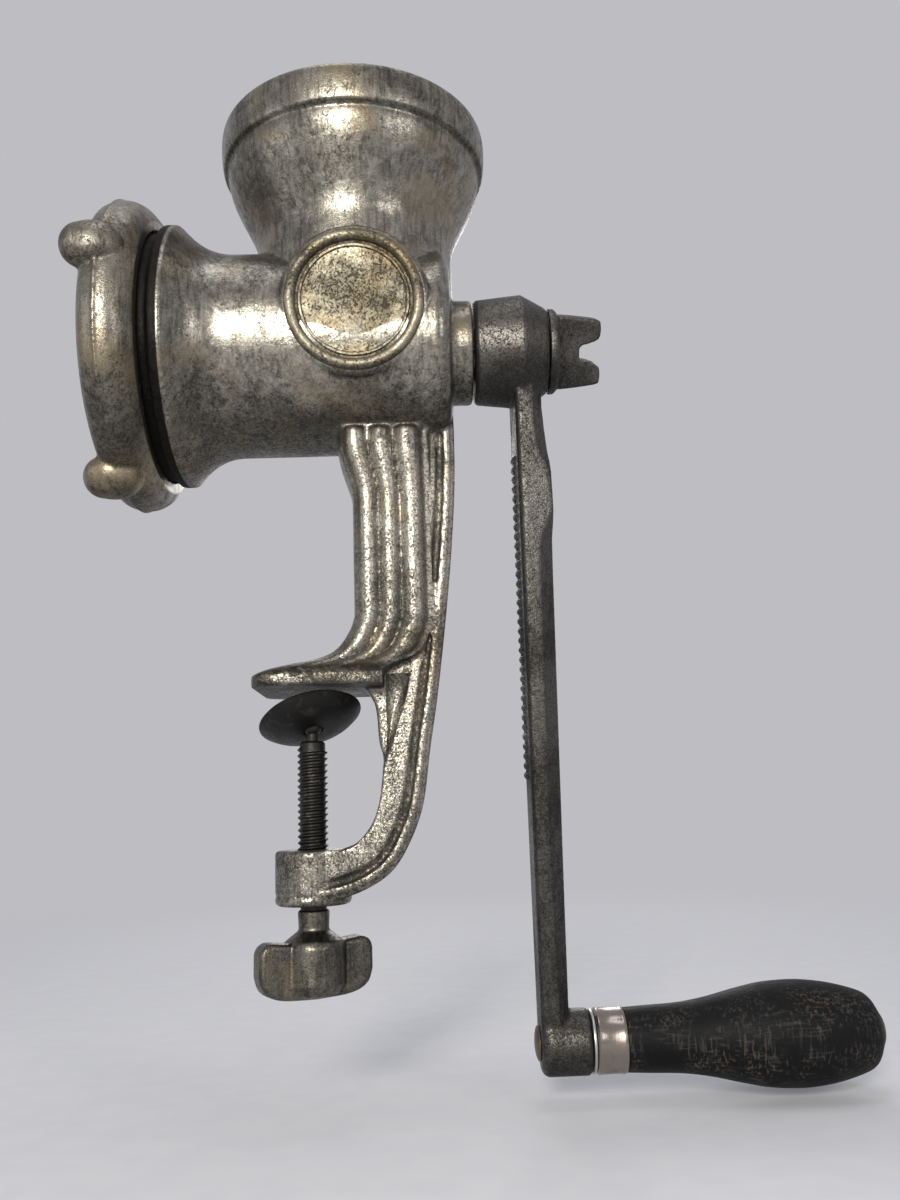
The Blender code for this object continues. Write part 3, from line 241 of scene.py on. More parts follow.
def soften(piece: bpy.types.Object, weigh: Callable[[Vector], float], passes: int) -> None:
    """Smooth a piece only where a weight says so.

    Args:
        piece: The piece to smooth.
        weigh: Gives 0 to 1 at a point.
        passes: Passes of smoothing.
    """
    group = piece.vertex_groups.new(name="soft")
    for vertex in piece.data.vertices:
        weight = weigh(vertex.co)
        if weight > 0.0:
            group.add([vertex.index], weight, "REPLACE")
    smooth = piece.modifiers.new("soften", "SMOOTH")
    smooth.factor = 0.5
    smooth.iterations = passes
    smooth.vertex_group = group.name
    settle(piece)


def cut(piece: bpy.types.Object, how: Cut, *tools: Solid) -> None:
    """Join solids to a piece or remove them from it."""
    for tool in tools:
        other = tool.done("tool")
        change = piece.modifiers.new("cut", "BOOLEAN")
        change.operation = how.value
        change.solver = "MANIFOLD"
        change.object = other
        settle(piece)
        bpy.data.objects.remove(other)


def thin_out(piece: bpy.types.Object, most: int) -> None:
    """Bring a piece down to a number of triangles."""
    count = sum(len(face.vertices) - 2 for face in piece.data.polygons)
    if count > most:
        change = piece.modifiers.new("thin", "DECIMATE")
        change.ratio = most / count
        settle(piece)


def eased(share: float) -> float:
    """Ease a share from 0 to 1 with no slope at its ends."""
    share = min(max(share, 0.0), 1.0)
    return share * share * (3.0 - 2.0 * share)


def smooth_line(points: Profile, steps: int) -> list[tuple[float, float]]:
    """Run a smooth curve through points.

    Args:
        points: The points, in order.
        steps: Steps between one point and the next.

    Returns:
        The points of the curve.
    """
    dots = [Vector(point) for point in points]
    line = []
    for i, (first, last) in enumerate(zip(dots, dots[1:])):
        before, after = dots[max(i - 1, 0)], dots[min(i + 2, len(dots) - 1)]
        for k in range(steps):
            t = k / steps
            line.append(tuple(0.5 * (2 * first + (last - before) * t
                                     + (2 * before - 5 * first + 4 * last - after) * t * t
                                     + (3 * first - before - 3 * last + after) * t**3)))
    return line + [tuple(dots[-1])]


def arc(centre: tuple[float, float], radius: float, start: float, end: float,
        steps: int) -> list[tuple[float, float]]:
    """Points of an arc between two angles."""
    angles = [start + (end - start) * i / steps for i in range(steps + 1)]
    return [(centre[0] + radius * math.cos(a), centre[1] + radius * math.sin(a)) for a in angles]


class Value:
    """A shader socket that takes part in Python expressions."""

    def __init__(self, maker: "Nodes", socket: bpy.types.NodeSocket) -> None:
        """Wrap a socket.

        Args:
            maker: The node tree that it belongs to.
            socket: The output socket.
        """
        self.maker = maker
        self.socket = socket

    def _math(self, operation: str, *values: "Operand") -> "Value":
        """Add a Math node of an operation on values."""
        return self.maker.node("ShaderNodeMath", {"operation": operation}, *values)

    def __add__(self, other: "Operand") -> "Value":
        """Sum."""
        return self._math("ADD", self, other)

    __radd__ = __add__

    def __sub__(self, other: "Operand") -> "Value":
        """Difference."""
        return self._math("SUBTRACT", self, other)

    def __rsub__(self, other: float) -> "Value":
        """Difference from a number."""
        return self._math("SUBTRACT", other, self)

    def __mul__(self, other: "Operand") -> "Value":
        """Product."""
        return self._math("MULTIPLY", self, other)

    def ramp(self, low: float, high: float) -> "Value":
        """Ease this value, from low to high, onto 0 to 1."""
        return self.maker.node("ShaderNodeMapRange", {"interpolation_type": "SMOOTHSTEP"}, self, low, high)


Operand = Union[Value, float]


class Nodes:
    """Builds the node tree of a material or a world."""

    def __init__(self, owner: Union[bpy.types.Material, bpy.types.World]) -> None:
        """Start with an empty node tree."""
        owner.use_nodes = True
        self.tree = owner.node_tree
        self.tree.nodes.clear()

    def node(self, kind: str, settings: dict, *values: object, output: Union[str, int] = 0,
             **named: object) -> Value:
        """Add a node.

        Args:
            kind: Type of the node.
            settings: Attributes that are set first.
            values: Values or links of its first sockets, in order.
            output: The output that is wanted.
            named: Values or links of sockets by name, with _ for a space.

        Returns:
            The wanted output.
        """
        made = self.tree.nodes.new(kind)
        for key, value in settings.items():
            setattr(made, key, value)
        pairs = list(zip(made.inputs, values))
        pairs += [(made.inputs[key.replace("_", " ")], value) for key, value in named.items()]
        for socket, value in pairs:
            if isinstance(value, Value):
                self.tree.links.new(value.socket, socket)
            else:
                socket.default_value = value
        return Value(self, made.outputs[output] if made.outputs else made.inputs[0])


class Maker(Nodes):
    """Builds one procedural material."""

    def __init__(self, name: str) -> None:
        """Start a material with its coordinates."""
        self.material = bpy.data.materials.new(name)
        super().__init__(self.material)
        self.point = self.node("ShaderNodeTexCoord", {}, output="Object")
        self.facing = self.node("ShaderNodeTexCoord", {}, output="Normal")

    def stretched(self, scale: tuple[float, float, float]) -> Value:
        """Object coordinates stretched by a scale along each axis."""
        return self.node("ShaderNodeMapping", {}, self.point, Scale=scale)

    def part_of(self, vector: Value, axis: str) -> Value:
        """The part of a direction or a place along one axis."""
        return self.node("ShaderNodeSeparateXYZ", {}, vector, output=axis)

    def pointed(self) -> Value:
        """How far the surface bulges: above a half on edges, below it in corners."""
        return self.node("ShaderNodeNewGeometry", {}, output="Pointiness")

    def noise(self, scale: float, detail: float = 4.0, rough: float = 0.55, warp: float = 0.0,
              at: Union[Value, None] = None) -> Value:
        """A noise over the surface.

        Args:
            scale: Grains per metre.
            detail: Octaves.
            rough: Strength of the finer octaves.
            warp: Distortion.
            at: Coordinates, or None for the object's own.

        Returns:
            The noise, about 0 to 1.
        """
        return self.node("ShaderNodeTexNoise", {}, Vector=at or self.point, Scale=scale, Detail=detail,
                         Roughness=rough, Distortion=warp)

    def cells(self, scale: float) -> Value:
        """Distance to the nearest of scattered points."""
        return self.node("ShaderNodeTexVoronoi", {}, Vector=self.point, Scale=scale, output="Distance")

    def blend(self, share: Value, first: Union[Value, Colour], second: Union[Value, Colour]) -> Value:
        """Mix two colours by a share."""
        made = self.tree.nodes.new("ShaderNodeMix")
        made.data_type = "RGBA"
        made.clamp_factor = True
        for socket, value in ((made.inputs[0], share), (made.inputs[6], first), (made.inputs[7], second)):
            if isinstance(value, Value):
                self.tree.links.new(value.socket, socket)
            else:
                socket.default_value = (*value, 1.0)
        return Value(self, made.outputs[2])

    def bump(self, height: Value, strength: float, distance: float,
             under: Union[Value, None] = None) -> Value:
        """Relief from a height.

        Args:
            height: The height, 0 to 1.
            strength: Strength of the relief.
            distance: Depth of it in metres.
            under: Relief that this one lies on.

        Returns:
            The normal.
        """
        named = {"Strength": strength, "Distance": distance, "Height": height}
        if under is not None:
            named["Normal"] = under
        return self.node("ShaderNodeBump", {}, **named)

    def surface(self, **sockets: object) -> bpy.types.Material:
        """Finish with a Principled shader.

        Args:
            sockets: Values or links of its sockets by name, with _ for a space.

        Returns:
            The material.
        """
        shader = self.node("ShaderNodeBsdfPrincipled", {}, **sockets)
        self.node("ShaderNodeOutputMaterial", {}, shader)
        return self.material


@dataclass(frozen=True)
class CastMetal:
    """Tinned cast iron: grey and worn bright, softly soiled, with fine black flecks and a gritty grain;
    painted shade darkens its undersides and creases, and a painted highlight lightens the gritty part towards
    the top.

    The jaw edge shade is painted shade along the edge of the jaw, and each gap shadow is a near-black painted
    shadow, partly dirt, between two places along X.
    """

    name: str = "tinned cast iron"
    bright: Colour = (0.375, 0.350, 0.298)
    base: Colour = (0.122, 0.114, 0.096)
    # Colour of the dirt patches and of the painted shade on undersides and in creases.
    soil_and_shade: Colour = (0.042, 0.039, 0.032)
    dark: Colour = (0.014, 0.013, 0.011)
    warm: Colour = (0.300, 0.240, 0.155)
    gloss: float = 0.27
    # Shifts the amount of dirt patches and painted shade.
    shade_and_grime_bias: float = 0.0
    warmth: float = 1.0
    # Strength of the gritty grain and of the painted highlight on it; sand_top is the height below which both
    # lie.
    sand: float = 0.0
    sand_top: float = 10.0
    # Strength of the painted shade along the jaw's edge.
    jaw_edge_shade: float = 0.0
    # Places along X between which a near-black painted shadow, partly dirt, is laid.
    gap_shadows_and_grime: tuple[tuple[float, float], ...] = ()

    def build(self) -> bpy.types.Material:
        """Build the material.

        Returns:
            The material.
        """
        m = Maker(self.name)
        high = m.part_of(m.point, "Z")
        # Painted shade: darker where the surface faces down, and in creases of low pointiness, there partly
        # dirt.
        below = m.part_of(m.facing, "Z").ramp(-0.25, -0.95)
        hollow = m.pointed().ramp(0.490, 0.450)
        # Gritty part below sand_top, which also carries a painted highlight.
        grit_and_highlight = high.ramp(self.sand_top + 0.006, self.sand_top - 0.006) * self.sand
        patch = m.noise(34.0, 4.0, 0.55, 0.5)
        mottle = m.noise(260.0, 6.0, 0.66, 0.8)
        fleck = m.noise(820.0, 5.0, 0.68, 1.4)
        speck = m.noise(1900.0, 3.0, 0.60)
        streak = m.noise(1.0, 5.0, 0.62, 0.4, m.stretched((800.0, 800.0, 70.0)))
        soiled_and_shaded = (patch * 0.76 + mottle * 0.24 + below * 0.15 + hollow * 0.20 + self.shade_and_grime_bias).ramp(0.46, 0.68)
        flecks = (fleck * 0.75 + speck * 0.25 + soiled_and_shaded * 0.070 + grit_and_highlight * 0.035).ramp(0.570, 0.625)
        hairs = streak.ramp(0.56, 0.66) * (0.15 + soiled_and_shaded * 0.5)
        salt = speck.ramp(0.47, 0.58) * grit_and_highlight
        wear = (mottle * 0.35 + speck * 0.3 + streak * 0.35).ramp(0.62, 0.36)
        gold = m.noise(46.0, 3.0, 0.5, 0.6).ramp(0.52, 0.66) * 0.55 * self.warmth
        # Painted highlight: the gritty part is lighter towards the top.
        colour = m.blend(wear + grit_and_highlight * high.ramp(-0.048, 0.010) * 0.75, self.base, self.bright)
        colour = m.blend(gold, colour, self.warm)
        # Dirt patches from noise mixed with painted shade on undersides and in creases.
        colour = m.blend(soiled_and_shaded * 0.62, colour, self.soil_and_shade)
        colour = m.blend(flecks * 0.70 + (1.0 - flecks) * (hairs + salt * 0.45), colour, self.dark)
        across = m.part_of(m.point, "X")
        # Painted shade along the jaw's edge.
        jaw_edge_shade = high.ramp(-0.0015, 0.0) * high.ramp(0.0062, 0.0044) * across.ramp(0.0215, 0.0180) * self.jaw_edge_shade
        colour = m.blend(jaw_edge_shade * (0.6 + mottle.ramp(0.42, 0.56) * 0.4), colour, self.soil_and_shade)
        rough = self.gloss + soiled_and_shaded * 0.13 + flecks * 0.14 + salt * 0.10 + speck.ramp(0.40, 0.62) * 0.06
        # Near-black painted shadow, partly dirt, on the neck between ring and flange.
        for first, last in self.gap_shadows_and_grime:
            gap_shadow_and_grime = across.ramp(first - 0.0002, first + 0.0002) * across.ramp(last + 0.0002, last - 0.0002)
            colour = m.blend(gap_shadow_and_grime * 0.96, colour, (0.008, 0.0075, 0.007))
            rough = rough + gap_shadow_and_grime * 0.30
        relief = m.bump(m.noise(480.0, 5.0, 0.62), 0.30, 0.0004)
        relief = m.bump((speck - flecks * 0.4) * (0.35 + grit_and_highlight * 0.65), 0.45, 0.00022, relief)
        return m.surface(Base_Color=colour, Metallic=1.0 - flecks * 0.3, Roughness=rough, Normal=relief)


@dataclass(frozen=True)
class MachinedSteel:
    """Turned or ground steel with fine tool marks."""

    name: str = "bright steel"
    colour: Colour = (0.50, 0.49, 0.46)
    stain: Colour = (0.12, 0.10, 0.08)
    gloss: float = 0.26

    def build(self) -> bpy.types.Material:
        """Build the material.

        Returns:
            The material.
        """
        m = Maker(self.name)
        patch = m.noise(120.0, 5.0, 0.6, 0.5).ramp(0.52, 0.72)
        lines = m.noise(1.0, 3.0, 0.5, 0.0, m.stretched((2400.0, 260.0, 260.0)))
        specks = m.cells(1500.0).ramp(0.14, 0.05) * 0.7
        colour = m.blend(patch * 0.55 + specks * 0.45, self.colour, self.stain)
        rough = self.gloss + patch * 0.22 + lines * 0.10
        relief = m.bump(lines, 0.12, 0.0002)
        return m.surface(Base_Color=colour, Metallic=0.96, Roughness=rough, Normal=relief)


@dataclass(frozen=True)
class BlackSteel:
    """Oiled black steel, rubbed brighter in patches."""

    name: str = "blackened steel"
    colour: Colour = (0.030, 0.029, 0.027)
    rubbed: Colour = (0.20, 0.17, 0.135)
    gloss: float = 0.38
    rub: float = 0.5

    def build(self) -> bpy.types.Material:
        """Build the material.

        Returns:
            The material.
        """
        m = Maker(self.name)
        patch = m.noise(260.0, 6.0, 0.7, 0.6)
        worn = patch.ramp(0.53, 0.70) * self.rub
        grain = m.noise(1500.0, 3.0, 0.6)
        colour = m.blend(worn, self.colour, self.rubbed)
        rough = self.gloss + grain.ramp(0.35, 0.7) * 0.18 - worn * 0.10
        relief = m.bump(patch * 0.5 + grain * 0.5, 0.30, 0.0003)
        return m.surface(Base_Color=colour, Metallic=0.85, Roughness=rough, Normal=relief)


@dataclass(frozen=True)
class PaintedWood:
    """Black paint on turned hardwood, with fine marks worn across and along the grain."""

    name: str = "black painted wood"
    paint: Colour = (0.0045, 0.0045, 0.0050)
    scuff: Colour = (0.050, 0.047, 0.044)
    bare: Colour = (0.075, 0.052, 0.033)
    shine: float = 0.13

    def build(self) -> bpy.types.Material:
        """Build the material.

        Returns:
            The material.
        """
        m = Maker(self.name)
        grain = m.noise(1.0, 5.0, 0.65, 0.2, m.stretched((90.0, 1300.0, 1300.0)))
        marks = m.noise(1.0, 4.0, 0.6, 0.1, m.stretched((1300.0, 1300.0, 130.0)))
        where = m.noise(55.0, 4.0, 0.6, 0.5)
        rubbed = grain.ramp(0.53, 0.64) * where.ramp(0.40, 0.58)
        hatched = marks.ramp(0.54, 0.60) * where.ramp(0.42, 0.52)
        colour = m.blend(rubbed * 0.55 + hatched * 0.55, self.paint, self.scuff)
        colour = m.blend(hatched * where.ramp(0.52, 0.64) * 0.7, colour, self.bare)
        rough = 0.50 + grain.ramp(0.35, 0.7) * 0.18 + hatched * 0.15
        relief = m.bump(grain, 0.30, 0.0003, m.bump(marks, 0.35, 0.00025))
        return m.surface(Base_Color=colour, Metallic=0.0, Roughness=rough, Normal=relief,
                         Specular_IOR_Level=self.shine)


@dataclass(frozen=True)
class Fibre:
    """Pressed brown washer fibre."""

    name: str = "washer fibre"
    colour: Colour = (0.21, 0.11, 0.06)

    def build(self) -> bpy.types.Material:
        """Build the material.

        Returns:
            The material.
        """
        m = Maker(self.name)
        flecks = m.noise(1.0, 5.0, 0.6, 0.0, m.stretched((900.0, 300.0, 300.0)))
        colour = m.blend(flecks.ramp(0.42, 0.62), self.colour, (0.11, 0.06, 0.035))
        relief = m.bump(flecks, 0.3, 0.0003)
        return m.surface(Base_Color=colour, Roughness=0.72 + flecks * 0.12, Normal=relief)


class Finishes:
    """All finishes, built once each."""

    def __init__(self) -> None:
        """Build each finish."""
        self.iron = CastMetal().build()
        self.body_iron = CastMetal("body iron", sand=1.0, sand_top=0.066, jaw_edge_shade=1.0,
                                   gap_shadows_and_grime=((-0.0500, -0.0347),)).build()
        self.ring_iron = CastMetal("ring iron", bright=(0.30, 0.275, 0.227), base=(0.132, 0.122, 0.100),
                                   gloss=0.33, shade_and_grime_bias=-0.02, warmth=1.3, sand=0.25).build()
        self.arm_iron = CastMetal("dark cast iron", bright=(0.118, 0.111, 0.102), base=(0.044, 0.042, 0.039),
                                  soil_and_shade=(0.030, 0.028, 0.026), dark=(0.011, 0.010, 0.009),
                                  warm=(0.115, 0.098, 0.078), gloss=0.36, shade_and_grime_bias=0.02, warmth=0.4,
                                  sand=0.8).build()
        self.wing_iron = CastMetal("wing head iron", bright=(0.185, 0.171, 0.143),
                                   base=(0.068, 0.063, 0.053), soil_and_shade=(0.032, 0.030, 0.025), gloss=0.31,
                                   shade_and_grime_bias=0.02, warmth=0.8, sand=0.5).build()
        self.badge = CastMetal("rubbed medallion", bright=(0.40, 0.36, 0.275), base=(0.215, 0.190, 0.138),
                               soil_and_shade=(0.060, 0.050, 0.034), dark=(0.020, 0.016, 0.010),
                               warm=(0.30, 0.235, 0.13), gloss=0.43, shade_and_grime_bias=0.05, warmth=1.5,
                               sand=0.25).build()
        self.steel = MachinedSteel().build()
        self.ferrule = MachinedSteel("tinned ferrule", (0.30, 0.260, 0.228), (0.085, 0.060, 0.045),
                                     0.16).build()
        self.rivet = MachinedSteel("rivet head", (0.16, 0.125, 0.095), (0.05, 0.040, 0.032), 0.40).build()
        self.black = BlackSteel().build()
        self.pad = BlackSteel("clamp pad black", (0.022, 0.021, 0.020), (0.11, 0.105, 0.095), 0.40,
                              0.4).build()
        self.wood = PaintedWood().build()
        self.fibre = Fibre().build()


def dress(mesh: bpy.types.Mesh, finish: bpy.types.Material) -> None:
    """Give a mesh one finish in place of what it has."""
    mesh.materials.clear()
    mesh.materials.append(finish)


def publish(piece: bpy.types.Object, body: str, slot: str, finish: bpy.types.Material, *nodes: str,
            sharp: float = 38.0) -> None:
    """Dress a piece, let it ride, hide the nodes of the frame that it replaces and log it.

    Args:
        piece: The piece, at the origin.
        body: Body of the frame that it moves with.
        slot: Material slot of the record; not used.
        finish: Its material.
        nodes: Nodes of the frame that it replaces.
        sharp: Angle in degrees from which an edge stays sharp.
    """
    mesh = piece.data
    dress(mesh, finish)
    mesh.shade_smooth()
    mesh.set_sharp_from_angle(angle=math.radians(sharp))
    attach(piece, body)
    if nodes:
        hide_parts(*nodes)
    count = sum(len(face.vertices) - 2 for face in mesh.polygons)
    LOG.info("%s: %d triangles, rides %s", piece.name, count, body)


@dataclass
class Housing:
    """The casting: barrel, hopper, leg, jaw, C-shaped arm and medallion, with the plate's key pin."""

    wall: float = 0.0034
    barrel: float = 0.0283
    rear: float = 0.0262
    shoulder: float = 0.0040
    rear_wall: float = 0.0050
    mouth: float = 0.0623
    thread: float = 0.0342
    thread_length: float = 0.0112
    flange: float = 0.0363
    flange_width: float = 0.0034
    flare_length: float = 0.0150
    flare_power: float = 2.3
    collar: float = 0.0147
    collar_length: float = 0.0064
    plate_seat: float = 0.0303
    chamber_depth: float = 0.0517
    top: float = 0.0660
    rim: float = 0.0385
    band: float = 0.0112
    bowl: float = 0.0366
    neck: float = 0.0277
    neck_height: float = 0.0280
    badge: float = 0.0185
    badge_x: float = 0.0147
    badge_reach: float = 0.0295
    badge_height: float = 0.0025
    badge_tilt: float = math.radians(12.0)
    badge_bead: float = 0.0038
    leg_left: float = 0.0131
    leg_right: float = 0.0331
    leg_half: float = 0.0112
    leg_front: float = 0.0098
    reeds: tuple[tuple[float, float], ...] = ((0.0163, 0.0029), (0.0220, 0.0029), (0.0281, 0.0032))
    reed_proud: float = 0.0029
    flare: float = 0.0036
    flare_start: float = 0.0500
    flare_height: float = 0.0165
    jaw_right: float = 0.0195
    spread_power: float = 2.5
    fillet: float = 0.0190
    jaw_tip: float = 0.0144
    jaw_half: float = 0.0172
    jaw_corner: float = 0.0060
    opening: float = 0.0412
    boss_height: float = 0.0138
    boss: float = 0.0098
    arm_top: float = 0.0404
    arm_middle: float = 0.0340
    web_half: float = 0.0080
    throat: float = 0.0190
    flange_half: float = 0.0096
    flange_thick: float = 0.0032
    face_inset: float = 0.0051
    face_half: float = 0.0090
    face_left: Profile = ((0.0197, -0.0185), (0.0222, -0.0130), (0.0245, -0.0070), (0.0262, -0.0015),
                          (0.0280, 0.0032), (0.0306, 0.0090), (0.0324, 0.0180), (0.0330, 0.0280))
    pocket: Profile = ((0.0201, 0.0032), (0.0236, 0.0036), (0.0268, 0.0034), (0.0259, -0.0005),
                       (0.0243, -0.0060), (0.0223, -0.0115), (0.0203, -0.0165), (0.0198, -0.0172),
                       (0.0201, -0.0110), (0.0199, -0.0035))
    pocket_middle: tuple[float, float] = (0.0226, -0.0020)
    pocket_depth: float = 0.0014
    shaft_hole: float = 0.0086
    screw_hole: float = 0.00427
    voxel: float = 0.0005
    fillet_passes: int = 24
    most: int = 190000

    def barrel_skin(self) -> Solid:
        """Shape the outside of the barrel, its flared mouth and its threaded neck."""
        back = self.mouth - self.thread_length
        flare = back - self.flange_width
        line = [(0.0, self.mouth), (self.thread - 0.0006, self.mouth), (self.thread, self.mouth - 0.0006),
                (self.thread, back), (self.flange - 0.0005, back), (self.flange, back - 0.0005),
                (self.flange, flare)]
        for i in range(1, 17):
            share = 1.0 - i / 16
            line.append((self.barrel + (self.flange - self.barrel) * share**self.flare_power,
                         flare - self.flare_length * i / 16))
        corner = (self.barrel - self.shoulder, self.shoulder - self.rear)
        line += arc(corner, self.shoulder, 0.0, -math.pi / 2, 8) + [(0.0, -self.rear)]
        return Solid().lathe(line).put(TOWARDS_MOUTH)

    def bowl_at(self, height: float, inset: float) -> float:
        """Radius of the hopper at a height above the barrel's axis."""
        span = self.top - self.band - self.neck_height
        return self.neck - inset + (self.bowl - self.neck) * eased((height - self.neck_height) / span)

    def hopper_skin(self) -> Solid:
        """Shape the outside of the hopper with the round band of its rim."""
        low = self.top - self.band
        line = [(0.0, self.top)] + smooth_line([
            (self.rim - 0.0016, self.top), (self.rim - 0.0004, self.top - 0.0007),
            (self.rim, self.top - self.band * 0.30), (self.rim - 0.0002, self.top - self.band * 0.72),
            (self.rim - 0.0007, low + 0.0005)], 6)
        line += [(self.bowl - 0.0002, low - 0.0001)]
        for i in range(1, 25):
            height = low + (self.neck_height - low) * i / 24
            line.append((self.bowl_at(height, 0.0), height))
        line += [(self.neck, 0.0), (0.0, 0.0)]
        return Solid().lathe(line).put(UNDER_HOPPER)

    def hopper_space(self) -> Solid:
        """Shape the space inside the hopper, down to the barrel's axis."""
        high = self.top + CLEAR
        edge = self.rim - self.wall
        line = [(0.0, high), (edge + 0.0012, high), (edge + 0.0006, self.top - 0.0006),
                (edge, self.top - 0.0018)]
        low = self.top - self.band
        for i in range(25):
            height = low + (self.neck_height - low) * i / 24
            line.append((self.bowl_at(height, self.wall), height))
        line += [(self.neck - self.wall, 0.0), (0.0, 0.0)]
        return Solid().lathe(line).put(UNDER_HOPPER)

    def front_line(self, count: int = 60) -> list[Vector]:
        """Points of the leg's front, which carries three half-round reeds and a plain strip."""
        points = []
        for i in range(count + 1):
            x = self.leg_left + (self.leg_right - self.leg_left) * i / count
            proud = 0.0
            for reed, half in self.reeds:
                near = abs(x - reed) / half
                if near < 1.0:
                    proud = max(proud, self.reed_proud * math.sqrt(1.0 - near * near))
            points.append(Vector((x, -self.leg_front - proud)))
        return points

    def towards_jaw(self, leg: Vector, jaw: Vector, spread: float) -> Vector:
        """Carry a corner of the leg towards the jaw, later in depth than in length."""
        return Vector((leg.x + (jaw.x - leg.x) * spread, leg.y + (jaw.y - leg.y) * spread**self.spread_power))

    def leg_section(self, spread: float) -> list[Vector]:
        """Outline of the leg, blended towards the outline of the jaw by a share."""
        leg = self.front_line()
        left = self.jaw_corner - self.jaw_tip
        jaw = [Vector((left + (self.jaw_right - left) * i / (len(leg) - 1), -self.jaw_half))
               for i in range(len(leg))]
        front = [self.towards_jaw(a, b, spread) for a, b in zip(leg, jaw)]
        back = [Vector((point.x, -point.y)) for point in reversed(front)]
        nose = []
        for i in range(1, 20):
            turn = math.pi * i / 20
            slim = Vector((self.leg_left - 0.0012 * math.sin(turn), self.leg_half * math.cos(turn) * 0.96))
            quarter = turn if turn < math.pi / 2 else math.pi - turn
            side = 1.0 if turn < math.pi / 2 else -1.0
            corner = Vector((left, side * (self.jaw_half - self.jaw_corner)))
            wide = corner + self.jaw_corner * Vector((-math.sin(quarter), side * math.cos(quarter)))
            if i == 10:
                wide = Vector((-self.jaw_tip, 0.0))
            nose.append(self.towards_jaw(slim, wide, spread))
        return front + back + nose

    def flared(self, point: Vector, high: float) -> Vector:
        """Carry a corner of the leg outwards where the leg runs into the barrel.

        Args:
            point: The corner.
            high: Its height.

        Returns:
            The corner in space.
        """
        share = eased((high - self.flare_start) / self.flare_height)
        left = (self.leg_right - point.x) / (self.leg_right - self.leg_left)
        return Vector((point.x - self.flare * share * left, point.y * (1.0 + 0.15 * share), high))

    def leg(self) -> Solid:
        """Shape the reeded leg and the jaw that it spreads into."""
        steps = ((1.0, 0.0), (0.83, 0.04), (0.67, 0.11), (0.57, 0.17), (0.49, 0.24), (0.44, 0.32),
                 (0.395, 0.42), (0.36, 0.53), (0.33, 0.66), (0.29, 0.78), (0.25, 0.88), (0.20, 0.96),
                 (0.155, 1.0), (0.0, 1.0))
        heights = [(self.flare_start + self.flare_height * i / 10, 0.0) for i in range(12, -1, -1)]
        heights += [(self.fillet * high, spread) for high, spread in steps]
        return Solid().skin([[self.flared(p, high) for p in self.leg_section(spread)]
                             for high, spread in heights])

    def arm_lines(self) -> tuple[list[tuple[float, float]], list[tuple[float, float]]]:
        """Outer and inner edge of the C-shaped arm, from the top down."""
        drop = self.opening + self.boss_height
        back = [(self.arm_top * a, AXIS_HEIGHT * b) for a, b in (
            (1, 1), (0.995, 0.63), (0.965, 0.43), (0.916, 0.235))]
        low = [(self.arm_middle * a, -drop * b) for a, b in (
            (1, 0), (0.924, 0.278), (0.853, 0.556), (0.732, 0.745), (0.588, 0.865), (0.368, 0.942),
            (0.135, 0.98))]
        inner = [(self.throat * a, -self.opening * b) for a, b in (
            (0.70, -0.04), (0.90, 0.11), (0.95, 0.345), (1, 0.44), (0.985, 0.56), (0.93, 0.73), (0.82, 0.86),
            (0.63, 0.96), (0.44, 0.995))]
        return smooth_line(back + low, 8), smooth_line(inner, 6)

    def inset(self, line: Sequence[tuple[float, float]], deep: float) -> list[tuple[float, float]]:
        """Points of an edge line moved inwards.

        Args:
            line: The edge, from the top down.
            deep: How far its points move.

        Returns:
            The moved points.
        """
        moved = []
        for i, point in enumerate(line):
            before, after = Vector(line[max(i - 1, 0)]), Vector(line[min(i + 1, len(line) - 1)])
            way = (after - before).normalized()
            moved.append(tuple(Vector(point) + Vector((way.y, -way.x)) * deep))
        return moved

    def along_edge(self, line: Sequence[tuple[float, float]], out: float, deep: float, half: float,
                   rounding: float) -> Solid:
        """Shape a band that follows an edge line.

        Args:
            line: The edge.
            out: Distance of the band's outer side inside the edge.
            deep: Distance of its inner side.
            half: Half its width along Y.
            rounding: Width of its rounded edges.

        Returns:
            The band.
        """
        band = Solid().slab(self.inset(line, out) + self.inset(line, deep)[::-1], half, rounding)
        return band.put(UPRIGHT)

    def arm(self) -> Solid:
        """Shape the arm: web, raised face, rear flange with its beads, and the boss of the screw."""
        outer, inner = self.arm_lines()
        drop = self.opening + self.boss_height
        outer.append((0.0, 0.0004 - drop))
        inner = inner[:-1] + [(inner[-1][0], -self.opening), (0.0, -self.opening)]
        web_line = self.inset(outer, 0.0016) + inner[::-1] + [(self.leg_left + 0.0033, AXIS_HEIGHT)]
        web = Solid().slab(web_line, self.web_half, 0.0006).put(UPRIGHT)
        side = [point for point in self.inset(outer, self.face_inset) if point[1] < 0.029]
        throat = [point for point in inner[::-1] if point[1] < -0.020]
        face = Solid().slab(side + throat + list(self.face_left), self.face_half, 0.0006).put(UPRIGHT)
        band = self.along_edge(outer, 0.0, self.flange_thick * 0.35, self.flange_half - 0.0007, 0.0004)
        bead = self.along_edge(outer, self.flange_thick * 0.42, self.flange_thick, self.flange_half,
                               0.0004)
        strip = self.along_edge([point for point in outer if point[1] > 0.022], self.face_inset,
                                self.face_inset + 0.0023, self.face_half + 0.0004, 0.0006)
        line = [(0.0, -self.opening), (self.boss - 0.0006, -self.opening),
                (self.boss, -self.opening - 0.0006), (self.boss, -drop + 0.0030),
                (self.boss - 0.0006, -drop + 0.0024), (self.boss + 0.0001, -drop + 0.0018),
                (self.boss, -drop + 0.0007), (self.boss - 0.0008, -drop), (0.0, -drop)]
        return web.add(face, band, bead, strip, Solid().lathe(line))

